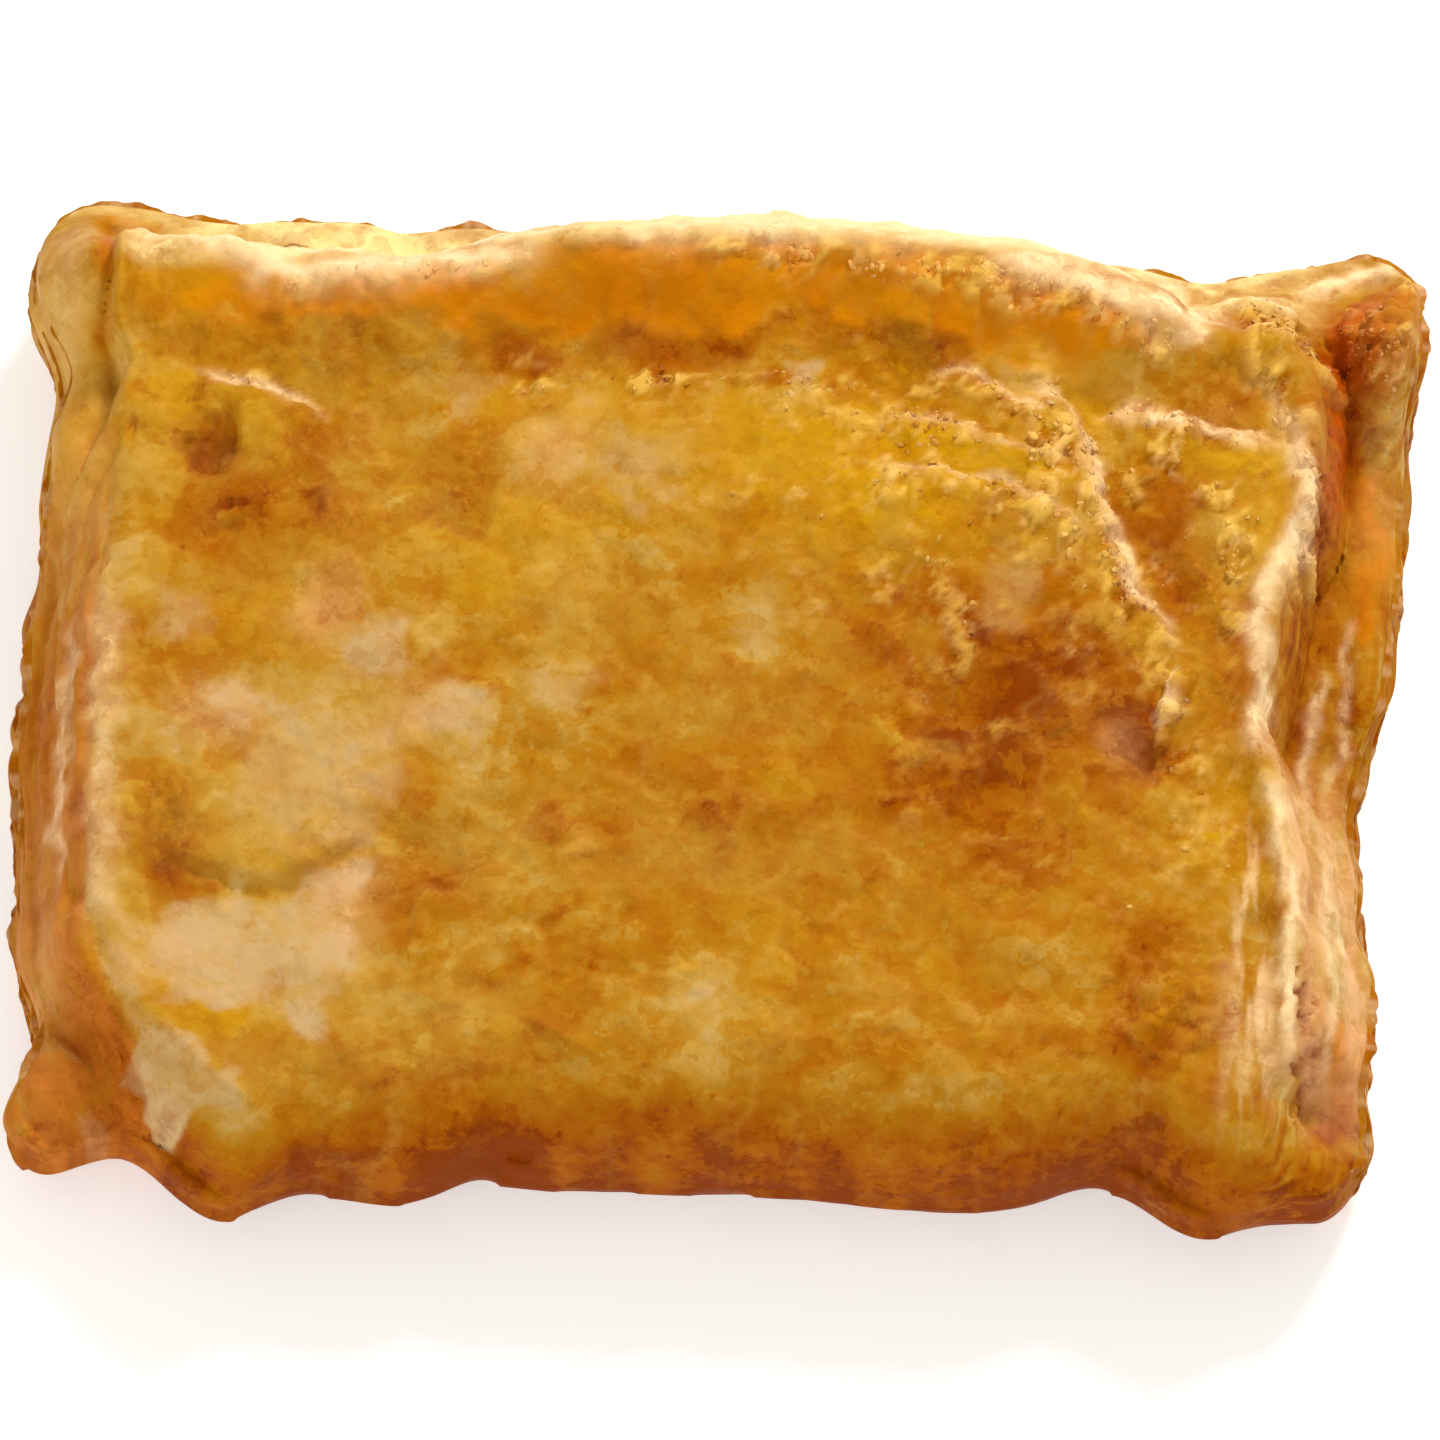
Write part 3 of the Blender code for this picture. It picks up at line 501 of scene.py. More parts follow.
def line_distance(x, y, line):
    """Distance to a line through points, the side it lies on, and the share along it."""
    points = list(zip(line[::2], line[1::2]))
    found = []
    for number, ((ax, ay), (bx, by)) in enumerate(zip(points, points[1:])):
        along_x, along_y = bx - ax, by - ay
        t = unit(((x - ax) * along_x + (y - ay) * along_y) / (along_x**2 + along_y**2))
        distance = np.hypot(x - ax - t * along_x, y - ay - t * along_y)
        side = np.sign(along_x * (y - ay) - along_y * (x - ax))
        found.append((distance, side, (number + t) / (len(points) - 1)))
    found = np.array(found)
    nearest = np.argmin(found[:, 0], axis=0)
    return np.take_along_axis(found, nearest[None, None], axis=0)[0]


def line_taper(share):
    """Fades a line out towards its two ends."""
    return fade(0.0, 0.22, share) * fade(1.0, 0.78, share)


def spot(x, y, wide, tall, centre_x, centre_y, turn=0):
    """An elliptical hill of height 1, turned by some degrees."""
    cos, sin = math.cos(math.radians(turn)), math.sin(math.radians(turn))
    dx, dy = x - centre_x, y - centre_y
    return np.exp(-(((dx * cos + dy * sin) / wide) ** 2) - ((dy * cos - dx * sin) / tall) ** 2)


def spots(x, y, listed):
    return sum(amount * spot(x, y, *form) for amount, *form in listed)


def lines(x, y, listed, join=np.maximum):
    """Hills along lines, joined to each other."""
    total = np.zeros_like(x)
    for amount, width, *line in listed:
        distance, _, along = line_distance(x, y, line)
        total = join(total, amount * hill(distance, width) * line_taper(along))
    return total


def rounded_inside(first, second, radius):
    """Depth inside a corner of two sides, given the depth inside each."""
    near = (first < radius) & (second < radius)
    arc = radius - np.hypot(radius - first, radius - second)
    return np.where(near, arc, np.minimum(first, second))


def pillow_depth(x, y):
    """Depth inside the pillow's foot at its three sealed sides, the width and the shoulder
    of its wall there, and the depth inside its back alone."""
    left = x - left_edge(y) - stepped(y, LEFT_SEAL)
    right = right_edge(y) - x - stepped(y, RIGHT_SEAL)
    back = back_edge(x) - y - stepped(x, BACK_SEAL)
    at_left = rounded_inside(left, back, BACK_LEFT_ROUND)
    at_right = rounded_inside(right, back, BACK_RIGHT_ROUND)
    nearest = np.minimum(np.minimum(left, right), back)
    pulls = [np.exp((nearest - side) / 3.0) for side in (left, right, back)]
    walls = [stepped(y, LEFT_WALL), stepped(y, RIGHT_WALL), stepped(x, BACK_WALL)]
    shoulders = [SHOULDER, stepped(y, RIGHT_SHOULDER), SHOULDER]
    wall = sum(pull * width for pull, width in zip(pulls, walls)) / sum(pulls)
    shoulder = sum(pull * power for pull, power in zip(pulls, shoulders)) / sum(pulls)
    return np.minimum(at_left, at_right), wall, shoulder, back


def pillow_top(x, y):
    """The top of the pillow away from its walls: highest at the middle of the back."""
    swell = fade(SWELL_FRONT, SWELL_BACK, y)
    narrowing = CROWN_NARROWING * swell
    crown = hill(x - CROWN_X - narrowing, CROWN_WIDTH - narrowing)
    middle = FRONT_HEIGHT - SHOULDER_HEIGHT + BACK_RISE * swell
    return SHOULDER_HEIGHT + middle * crown + SHOULDER_RISE * swell * (1 - crown)


def layered(z, x, y, strength):
    """Turns a slope into the treads and risers of stacked pastry layers."""
    level = z / LAYER + LAYER_WAVES * fractal(x, y, LAYER_WAVE_LENGTH, 31)
    whole = np.floor(level)
    tread = (whole + fade(0.15, 0.85, level - whole)) * LAYER
    return z + (tread - level * LAYER) * strength


def body_height(x, y):
    """The pillow, the sealed ends round it and the crests along its back and right."""
    depth, wall, shoulder, back = pillow_depth(x, y)
    climb = SEAL_SLOPE * np.clip(depth + SEAL_REACH, 0.0, SEAL_REACH)
    seal = SEAL_EDGE + climb + BACK_SEAL_RISE * fade(*BACK_SEAL_FROM, y)
    share = unit(depth / wall)
    fold = unit((y - front_edge(x)) / FOLD_REACH)
    rise = (1 - (1 - share) ** shoulder) * np.sqrt(1 - (1 - fold) ** 2)
    height = seal + (pillow_top(x, y) - seal) * rise

    behind_crest = back - CREST_PLACE * stepped(x, BACK_WALL)
    at_back = fade(*CREST_LEFT, x) * fade(*CREST_RIGHT, x) * rise
    trough = TROUGH * hill(behind_crest - TROUGH_PLACE, TROUGH_WIDTH)
    height += CREST * at_back * (hill(behind_crest, CREST_WIDTH) - trough)
    at_right = fade(*RIGHT_CREST_FRONT, y) * fade(*RIGHT_CREST_BACK, y)
    at_right *= fade(*RIGHT_CREST_INNER, x)
    height += RIGHT_CREST * at_right * hill(depth - wall, RIGHT_CREST_WIDTH)

    to_back = y + LEFT_PLAIN * fade(10, -10, x)
    on_wall = fade(*LAYERS_OUTER, depth) * fade(*LAYERS_INNER, depth / wall)
    on_wall *= fade(*LAYERS_BACK, to_back)
    low_right = fade(30, 50, x) * fade(12, -8, y)
    return layered(height, x, y, on_wall * (LAYER_STEP - LOW_RIGHT_STEP * low_right)), depth


def top_height(x, y):
    """Height of the upper surface, with its lips, ledges, dents, lumps and creases."""
    height, depth = body_height(x, y)
    height += lines(x, y, RIDGES, np.add) - lines(x, y, CREASES, np.add)
    for drop, width, reach, *line in LEDGES:
        distance, side, along = line_distance(x, y, line)
        across = side * np.tanh(distance / width) * hill(distance, reach)
        height += 0.5 * drop * across * line_taper(along)
    height += spots(x, y, LUMPS) * fade(3.0, 0.0, depth) - spots(x, y, DENTS)
    height += SWELL_BROAD * fractal(x, y, BROAD_CELL, 21)
    return height + SWELL_SMALL * fractal(x, y, SMALL_CELL, 25)


def corner_share(distance, half):
    return unit((np.abs(distance) - half + CORNER_ROUND) / CORNER_ROUND)


def plan_position(across, up):
    """Maps the unit square to the plan of the pie, with its four outer corners rounded."""
    half_x, half_y = (RIGHT_X - LEFT_X) / 2, (BACK_Y - FRONT_Y) / 2
    x0, y0 = (across * 2 - 1) * half_x, (up * 2 - 1) * half_y
    corner_x, corner_y = corner_share(x0, half_x), corner_share(y0, half_y)
    pull_x = CORNER_ROUND * corner_x * (1 - np.sqrt(1 - corner_y**2 / 2))
    pull_y = CORNER_ROUND * corner_y * (1 - np.sqrt(1 - corner_x**2 / 2))
    x = left_edge(y0) * (1 - across) + right_edge(y0) * across - np.sign(x0) * pull_x
    y = front_edge(x0) * (1 - up) + back_edge(x0) * up - np.sign(y0) * pull_y
    return x, y


def finer_at_rim(share):
    return share - RIM_FINENESS * np.sin(2 * math.pi * share) / (2 * math.pi)


def smoothed(values, passes):
    """Averages a closed run of values with its neighbours."""
    for _ in range(passes):
        values = (np.roll(values, 1, axis=0) + 2 * values + np.roll(values, -1, axis=0)) / 4
    return values


def warped(x, y, amount, cell, seed):
    """Coordinates pushed about by noise, so that what is drawn at them has ragged edges."""
    return (x + amount * fractal(x, y, cell, seed),
            y + amount * fractal(x, y, cell, seed + 7))


def facets(x, y, listed):
    """Shares inside convex patches with a fading edge."""
    total = np.zeros_like(x)
    for share, soft, *flat in listed:
        corners = list(zip(flat[::2], flat[1::2]))
        inside = np.full_like(x, np.inf)
        for (ax, ay), (bx, by) in zip(corners, corners[1:] + corners[:1]):
            across = (bx - ax) * (y - ay) - (by - ay) * (x - ax)
            inside = np.minimum(inside, across / math.hypot(bx - ax, by - ay))
        total = np.maximum(total, share * fade(0.0, soft, inside))
    return total


def cells(x, y, size, seed):
    """Distance to the nearest of scattered points, as a share of the cell size."""
    rng = np.random.default_rng(seed)
    jitter = rng.uniform(0.15, 0.85, (2, LATTICE, LATTICE))
    column, row = np.floor(x / size), np.floor(y / size)
    nearest = np.full_like(x, 9.0)
    for right in (-1, 0, 1):
        for above in (-1, 0, 1):
            u, v = column + right, row + above
            point = jitter[:, u.astype(int) % LATTICE, v.astype(int) % LATTICE]
            distance = np.hypot(x / size - u - point[0], y / size - v - point[1])
            nearest = np.minimum(nearest, distance)
    return nearest


def flake_relief(x, y):
    """Thin overlapping flakes of the top sheet, each lifted at its back: their height, how
    much browner, yellower and paler they are, and where their edges catch the light."""
    rng = np.random.default_rng(401)
    lift, tones, edge = np.zeros_like(x), np.zeros((3, len(x))), np.zeros_like(x)
    wx, wy = warped(x, y, 0.9, 2.2, 410)
    for _ in range(FLAKE_COUNT):
        centre = rng.uniform((LEFT_X, FRONT_Y), (RIGHT_X, BACK_Y))
        radius = FLAKE_SMALLEST + (FLAKE_LARGEST - FLAKE_SMALLEST) * rng.random() ** 2.6
        squeeze, turn, lean = rng.uniform(0.45, 1.0), rng.uniform(0, math.pi), rng.normal(1.2, 0.7)
        lobes = rng.uniform(0, 2 * math.pi, 2)
        height = FLAKE_LIFT * rng.uniform(0.35, 1.0)
        small = float(fade(4.5, 2.5, radius))
        shades = (rng.normal(0.0, 0.12), 0.30 * (rng.random() < 0.2),
                  (0.04 + 0.20 * small) * (rng.random() < 0.12 + 0.10 * small))
        near = np.hypot(x - centre[0], y - centre[1]) < radius * 1.5
        dx, dy = wx[near] - centre[0], wy[near] - centre[1]
        u = dx * math.cos(turn) + dy * math.sin(turn)
        v = (dy * math.cos(turn) - dx * math.sin(turn)) / squeeze
        angle = np.arctan2(v, u)
        waves = 1 + 0.18 * np.sin(2 * angle + lobes[0]) + 0.10 * np.sin(5 * angle + lobes[1])
        inside = 1 - np.hypot(u, v) / (radius * waves)
        raised = 0.5 + 0.5 * np.cos(angle + turn - lean)
        sheet = height * fade(0.0, 0.35 / radius, inside) * (0.25 + 0.75 * raised)
        lift[near] += sheet * fade(0.9, 0.1, inside * (1 - raised))
        tones[:, near] += np.array(shades)[:, None] * fade(0.0, 0.5 / radius, inside) * raised
        glint = hill(inside * radius - 0.25, 0.35) * raised * height / FLAKE_LIFT
        edge[near] = np.maximum(edge[near], glint)
    return lift, tones, edge


def surface_masks(x, y, depth, wall):
    """What the pastry is like at each point of the top, as shares from 0 to 1."""
    wx, wy = warped(x, y, 2.2, 5.0, 301)
    nx, ny = warped(x, y, 1.2, 3.0, 331)
    from_front = y - front_edge(x)
    seal = fade(1.5, -0.5, depth)
    at_back = fade(34, 41, y)
    side = fade(0.85, 0.6, depth / wall) * (1 - seal) * (y < 36)
    side = np.maximum(seal * (1 - at_back), side)
    side *= 1 - 0.7 * fade(10, 22, y) * (x < 0)

    brown = MEAN_BROWN + spots(wx, wy, BROWNING) + lines(nx, ny, BROWN_LINES, np.add)
    brown += 0.14 * fractal(x, y, 7.0, 311) + 0.12 * fractal(x, y, 2.4, 321)
    brown += 0.16 * fade(-24, -34, y) * fractal(x, y * 2.2, 4.0, 313)
    # Browner towards the foot of the fold: its bake, and painted shade where it turns from the
    # light.
    brown += FOLD_BROWN_AND_SHADE * fade(4.6, 0.0, from_front) + 0.05 * fade(12.0, 5.0, from_front)
    # Painted shade at the bottom of the creases, fading up their walls; it also browns the crust
    # there.
    deep = lines(nx, ny, CREASE_SHADE_LINES) * (1 - 0.6 * fade(0.25, 0.8, depth / wall))
    deep *= unit(0.85 + 0.8 * fractal(x, y, 2.0, 355))
    masks = {"brown": brown + 0.3 * deep, "side": side, "deep": deep}

    patches = fade(0.0, 0.45, fractal(wx, wy, 6.5, 353)) * (1 - side) * (1 - at_back)
    straw = spots(wx, wy, STRAW) + 0.3 * patches * fade(25, 5, x)
    masks["straw"] = unit(straw * fade(3.0, 9.0, from_front))
    golden = fade(0.1, 0.5, fractal(x * 0.7, y * 1.6, 3.4, 351)) * fade(36.5, 39, y)
    masks["yellow"] = unit(unit(spots(wx, wy, YELLOWING)) + 0.5 * golden)
    # Amber glaze, with painted shade on the band below the back crest that faces away from the
    # light.
    amber = fade(0.12, 0.62, lines(wx, wy, AMBER_AND_SHADE_LINES))
    masks["amber"] = unit(amber * (0.9 + 0.5 * fractal(x, y, 2.0, 303)))
    rust = side * (0.55 + 0.35 * fade(0, -30, y)) * fade(-40, -55, x) * fade(30, 12, y)
    corner = fade(0.3, 0.8, spot(nx, ny, 4.0, 7.0, 59.0, 38.5, -10))
    masks["rust"] = np.maximum(rust, 0.8 * corner)

    clusters = fade(-0.15, 0.35, fractal(x, y, 3.6, 335))
    masks["crumb"] = unit(spots(nx, ny, CRUMBLING) * clusters + lines(nx, ny, CRUMB_LINES))
    bare = facets(*warped(x, y, 2.8, 4.0, 337), PALE_FACETS)
    masks["bare"] = bare * unit(0.85 + 0.7 * fractal(x, y, 2.6, 339))
    streaky = hill(x - 49.0, 2.4) * fade(-8, -16, y) * fade(-44, -38, y)
    streaky *= np.clip(1.6 * fractal(x, y * 0.14, 1.1, 347), 0, 0.6)
    # Painted highlight along the crests and rims, with pale streaks on the right wall.
    masks["pale"] = np.maximum(lines(nx, ny, HIGHLIGHT_LINES), streaky)
    # Cream behind the crest and along the back rim: painted highlight on the seal, which faces the
    # light.
    behind = fade(37, 40, y) * fade(-58, -54, x) * fade(56, 44, x)
    behind *= 0.75 + 0.8 * fractal(x, y * 1.5, 6.0, 333)
    rim = 0.8 * fade(1.8, 0.4, back_edge(x) - y) * (0.6 + 1.4 * fractal(x, y, 4.0, 349))
    masks["cream"] = unit(np.maximum(behind, rim))
    stripes = 0.5 + 0.9 * fractal(x, y * 0.12, 1.7, 345)
    stripes *= fade(44, 50, x) * fade(2, -12, y) * fade(-42, -32, y)
    stripes *= 1.15 * fade(wall, 0.8 * wall, depth)
    masks["pink"] = unit(spots(nx, ny, PINK_SPOTS) + stripes)
    return masks


def sunk(x, y):
    """Crisp-edged blister holes and the rows of small holes: how far they sink, and the painted
    shade inside them, strongest towards their back.
    """
    down, hole_shade = np.zeros_like(x), np.zeros_like(x)
    rng = np.random.default_rng(451)
    holes = list(HOLES)
    for count, spread, *flat in HOLE_ROWS:
        line = np.array(flat).reshape(-1, 2)
        for share in (np.arange(count) + rng.uniform(0, 1, count)) / count:
            place = share * (len(line) - 1)
            first, second = line[int(place)], line[int(place) + 1]
            at = first + (second - first) * (place % 1) + spread * rng.uniform(-1, 1, 2)
            wide, tall = rng.uniform(0.15, 0.4), rng.uniform(0.3, 0.8)
            holes.append((0.5, wide, tall, *at, rng.uniform(-50, 50)))
    wx, wy = warped(x, y, 0.35, 1.4, 455)
    for depth, *form in holes:
        distance = np.sqrt(-np.log(np.clip(spot(wx, wy, *form), 1e-9, 1.0)))
        inside = fade(1.0, 0.6, distance)
        down += depth * inside - 0.2 * depth * hill(distance - 1.2, 0.25)
        _, tall, _, middle = form[:4]
        far = fade(-0.8, 0.9, (wy - middle) / tall)
        hole_shade = np.maximum(hole_shade, inside * (0.35 + 0.65 * far))
    return down, hole_shade


def round_beads(x, y, size, squeeze, seed):
    """Rounded grains on scattered points, from 0 between them to 1."""
    return unit(1 - (cells(x, y, size, seed) * squeeze) ** 2)


def fine_relief(x, y, height, masks):
    """Small relief along the surface normal, and what it adds to the masks."""
    lift, tones, edge = flake_relief(x, y)
    down, hole_shade = sunk(x, y)
    wx, wy = warped(x, y, 0.5, 1.6, 350)
    tx, ty = 0.8 * x + 0.6 * y, 0.8 * y - 0.6 * x
    bead = round_beads(wx, wy, 1.7, 1.5, 361)
    small_bead = round_beads(wx, wy, 1.1, 1.5, 371)
    streak = fractal(height + 0.35 * x, y * 0.15, 1.3, 341)
    crumb, side = masks["crumb"], masks["side"]
    face = 1 - side
    smooth = fade(0.3, 0.9, masks["amber"]) * (1 - crumb)

    relief = lift * face * (1 - 0.4 * masks["pale"]) * (1 - 0.8 * smooth)
    relief += crumb * (BEAD_RELIEF * bead + SMALL_BEAD_RELIEF * small_bead - 0.25)
    relief += crumb * RIB_RELIEF * (1 - np.abs(fractal(tx, ty, 3.4, 393))) ** 3
    relief += GRAIN_RELIEF * fractal(tx, ty, 1.6, 395) * face * (1 - 0.4 * smooth)
    relief += BROAD_RELIEF * fractal(tx, ty, 3.2, 397) * face
    relief += side * (STREAK_RELIEF * streak + 0.3 * fractal(tx, ty, 2.0, 398))
    clump = spot(x, y, 4.5, 8.0, 59.5, 36.5, -12) + 0.5 * spot(x, y, 5.0, 3.0, 49.5, 38.0)
    relief += unit(clump) * (1.5 * round_beads(wx, wy * 1.3, 1.9, 1.3, 375) - 0.6)
    behind = fade(39, 43, y) * fade(-57, -52, x)
    relief += behind * BACK_RELIEF * fractal(tx, ty * 1.3, 2.8, 399)
    feet = np.maximum(*(spot(x, y, *foot) for foot in FEET))
    folds = fractal(tx, y * 0.4, 1.7, 463)
    relief += FOOT_RELIEF * feet * folds
    relief -= down * (0.9 + 0.9 * fractal(x, y, 1.8, 457))

    tone, golden, cream = tones * fade(1.0, 8.0, y - front_edge(x))
    broken = fade(0.05, 0.5, crumb)
    # Raised pale dabs on the broken crust, partly painted highlight, and sunk gaps between them
    # browned as painted shade.
    dabs = fractal(0.8 * wx + 0.6 * wy, 1.3 * (0.8 * wy - 0.6 * wx), 1.7, 461)
    dab, gap = broken * fade(0.08, 0.42, dabs), broken * fade(0.08, 0.5, -dabs)
    relief += DAB_RELIEF * dab - 0.3 * gap
    # Painted highlight on the tops of the crumb beads.
    glint = fade(0.6, 0.9, bead) + fade(0.65, 0.9, small_bead)
    glint *= crumb * fade(0.0, 0.3, fractal(x, y, 1.5, 459))

    # The shade painted in the holes browns the crust there and takes the pale marks out.
    masks["brown"] += tone * face + 0.45 * hole_shade - 0.2 * side * streak
    masks["brown"] += feet * (0.06 - 0.35 * folds) + 0.22 * gap
    masks["amber"] *= 1 - 0.5 * feet * (x < 0)
    masks["rust"] *= 1 - 0.8 * feet * fade(-0.15, 0.25, folds)
    masks["pink"] += 0.5 * feet * fade(0.1, 0.5, folds)
    masks["dab"] = unit(np.maximum(dab, 1.1 * cream * face * (1 - smooth)) * (1 - hole_shade))
    masks["yellow"] += golden * face
    masks["pale"] *= 1 - hole_shade
    masks["bare"] *= 1 - hole_shade
    masks["deep"] = np.maximum(masks["deep"], 0.25 * hole_shade)
    # Painted highlight where the flake edges catch the light.
    masks["edge"] = edge * face
    masks["bead"] = 0.6 * unit(glint) * (1 - hole_shade)
    return relief


def fine_top():
    """The moulded top: points, masks and normals on a grid that is finer at the rim."""
    across, up = np.meshgrid(np.linspace(0, 1, FINE_COLUMNS + 1), np.linspace(0, 1, FINE_ROWS + 1))
    x, y = plan_position(finer_at_rim(across), finer_at_rim(up))
    shape = x.shape
    x, y = x.ravel(), y.ravel()
    height = top_height(x, y)
    highest = CAD_BOX[1][2] / MILLIMETRE
    height -= HEADROOM * fade(highest - 4, highest, height)
    depth, wall, _, _ = pillow_depth(x, y)
    masks = surface_masks(x, y, depth, wall)
    relief = fine_relief(x, y, height, masks)
    points = np.stack([x, y, height], axis=1).reshape(*shape, 3)
    normals = np.cross(np.gradient(points, axis=1), np.gradient(points, axis=0))
    normals /= np.linalg.norm(normals, axis=2, keepdims=True)
    inside = np.minimum(np.minimum(across, 1 - across), np.minimum(up, 1 - up))
    relief = relief.reshape(shape) * fade(0.0, 0.012, inside)
    points = points + normals * relief[..., None]
    return points, normals, {name: value.reshape(shape) for name, value in masks.items()}


def around(grid):
    """The rim of a grid of values, counter-clockwise from the front left corner."""
    return np.concatenate([grid[0, :-1], grid[:-1, -1], grid[-1, :0:-1], grid[:0:-1, 0]])


class Side:
    """The cut edge below the rim: leaf edges in and out, and the bottom corner drawn in."""

    def __init__(self, rim):
        self.rim = rim
        plan = smoothed(rim[:, :2], 2 * RIM_PASSES)
        along = np.roll(plan, -1, axis=0) - np.roll(plan, 1, axis=0)
        outward = smoothed(np.stack([along[:, 1], -along[:, 0]], axis=1), 3 * RIM_PASSES)
        self.outward = outward / np.linalg.norm(outward, axis=1, keepdims=True)
        self.fold = smoothed(fade(*FOLD_FACING, -self.outward[:, 1]), 6 * RIM_PASSES)
        self.travel = np.cumsum(np.linalg.norm(along, axis=1)) / 2
        self.plans = [smoothed(rim[:, :2], RIM_PASSES * (ring // 2)) for ring in range(RINGS + 1)]

    def leaf(self, ring):
        along = value_noise(self.travel, self.travel * 0 + 7.0 * ring, LEAF_WAVE_LENGTH, 43)
        return LEAVES[ring] * (1 + LEAF_WAVES * along) * (1 - (1 - FOLD_LEAVES) * self.fold)

    def at(self, down):
        """Points of the side at a share of the way down."""
        upper = min(int(down * RINGS), RINGS - 1)
        share = down * RINGS - upper
        leaf = self.leaf(upper) * (1 - share) + self.leaf(upper + 1) * share
        leaf = leaf + FOLD_BULGE * math.sin(math.pi * down) * self.fold
        drawn_in = unit((down - TUCK_FROM + FOLD_TUCK_SOONER * self.fold) / TUCK_OVER) ** 2
        tuck = (TUCK + (FOLD_TUCK - TUCK) * self.fold) * drawn_in
        plan = self.plans[upper] * (1 - share) + self.plans[upper + 1] * share
        plan = plan + self.outward * (leaf - tuck)[:, None]
        return np.column_stack([plan, self.rim[:, 2] * (1 - down)])


def grid_faces(rows, columns, start=0):
    """Quads between rows of points, counter-clockwise seen from above."""
    row, column = np.meshgrid(np.arange(rows - 1), np.arange(columns - 1), indexing="ij")
    first = start + row * columns + column
    corners = [first, first + 1, first + columns + 1, first + columns]
    return np.stack(corners, axis=-1).reshape(-1, 4).tolist()


def in_box(points):
    """Form millimetres to metres in the frame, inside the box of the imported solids."""
    placed = (points + np.array([*PLAN_SHIFT, 0.0])) * MILLIMETRE
    return np.clip(placed, CAD_BOX[0], CAD_BOX[1])


def add_piece(name, points, faces, material, masks=None):
    """A smooth mesh piece that rides with the pie, with its masks as point attributes."""
    mesh = bpy.data.meshes.new(name)
    mesh.from_pydata(in_box(points).tolist(), [], faces)
    mesh.update()
    mesh.shade_smooth()
    for mask, values in (masks or {}).items():
        attribute = mesh.attributes.new(mask, "FLOAT", "POINT")
        attribute.data.foreach_set("value", np.asarray(values, dtype=np.float32))
    mesh.materials.append(material)
    piece = bpy.data.objects.new(name, mesh)
    bpy.context.scene.collection.objects.link(piece)
    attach(piece, "root")
    return piece


def wall_masks(rim, points, side):
    """The masks of the rings below the rim: the rim's own fade out, and layers take over."""
    x, y, z = np.concatenate(points[1:]).T
    rings = len(points) - 1
    ring = np.repeat(np.arange(1, rings + 1), len(side.fold))
    down, wall = np.minimum(ring / FINE_RINGS, 1.0), ring <= FINE_RINGS
    fold = np.tile(side.fold, rings)
    patches = fractal(x + y, 2.0 * z, 6.0, 541) * wall
    layers = fractal(x + y, 5.0 * z, 3.0, 543) * wall
    kept = fade(0.75, 0.05, down + 0.5 * patches)
    kept = (kept * (1 - fold) + fold) * wall
    masks = {name: np.tile(values, rings) * kept for name, values in rim.items()}
    # Cream on the back walls: painted highlight where they face the light.
    masks["cream"] += 0.35 * (1 - kept) * wall * fade(30, 44, y) * fade(-0.2, 0.4, layers)
    baked = 0.50 + 0.24 * patches + 0.20 * layers + 0.12 * down + 0.04 * (1 - wall)
    # The fold browns further down its wall: painted shade, with its bake.
    masks["brown"] += (1 - kept) * baked + 0.25 * fold * down * wall
    masks["side"] += 0.35 * (1 - kept) * wall
    masks["leaf"] = (1 - fold) * fade(0.0, 0.2, down) * wall
    return masks


def add_crust(top, masks, side, material):
    """The whole outside of the pie: moulded top, cut edge and base."""
    rows, columns = top.shape[:2]
    points, faces = [top.reshape(-1, 3)], grid_faces(rows, columns)
    points += [side.at(ring / FINE_RINGS) for ring in range(1, FINE_RINGS + 1)]
    for share in BASE_SHARES:
        ring = smoothed(side.at(1.0) * (share, share, 1.0), BASE_PASSES)
        points.append(ring + (0.0, 0.0, BASE_HOLLOW))
    rim, ring = around(np.arange(rows * columns).reshape(rows, columns)), np.arange(len(side.rim))
    rings = [rim] + [rows * columns + len(ring) * lower + ring for lower in range(len(points) - 1)]
    for upper, lower in zip(rings, rings[1:]):
        quads = np.stack([lower, np.roll(lower, -1), np.roll(upper, -1), upper], axis=1)
        faces += quads.tolist()
    faces.append(rings[-1][::-1].tolist())

    wall = wall_masks({name: around(grid) for name, grid in masks.items()}, points, side)
    masks = {"leaf": np.zeros(top.shape[:2]), **masks}
    masks = {name: np.concatenate([grid.ravel(), wall[name]]) for name, grid in masks.items()}
    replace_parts(add_piece("crust", np.concatenate(points), faces, material, masks), "pastry")


def frames(rng, normals, tilt):
    """An orthonormal frame for each normal, turned at random and tilted a little."""
    up = normals + tilt * rng.normal(size=normals.shape)
    up /= np.linalg.norm(up, axis=1, keepdims=True)
    ahead = np.cross(up, rng.normal(size=up.shape))
    ahead /= np.linalg.norm(ahead, axis=1, keepdims=True)
    return ahead, np.cross(up, ahead), up


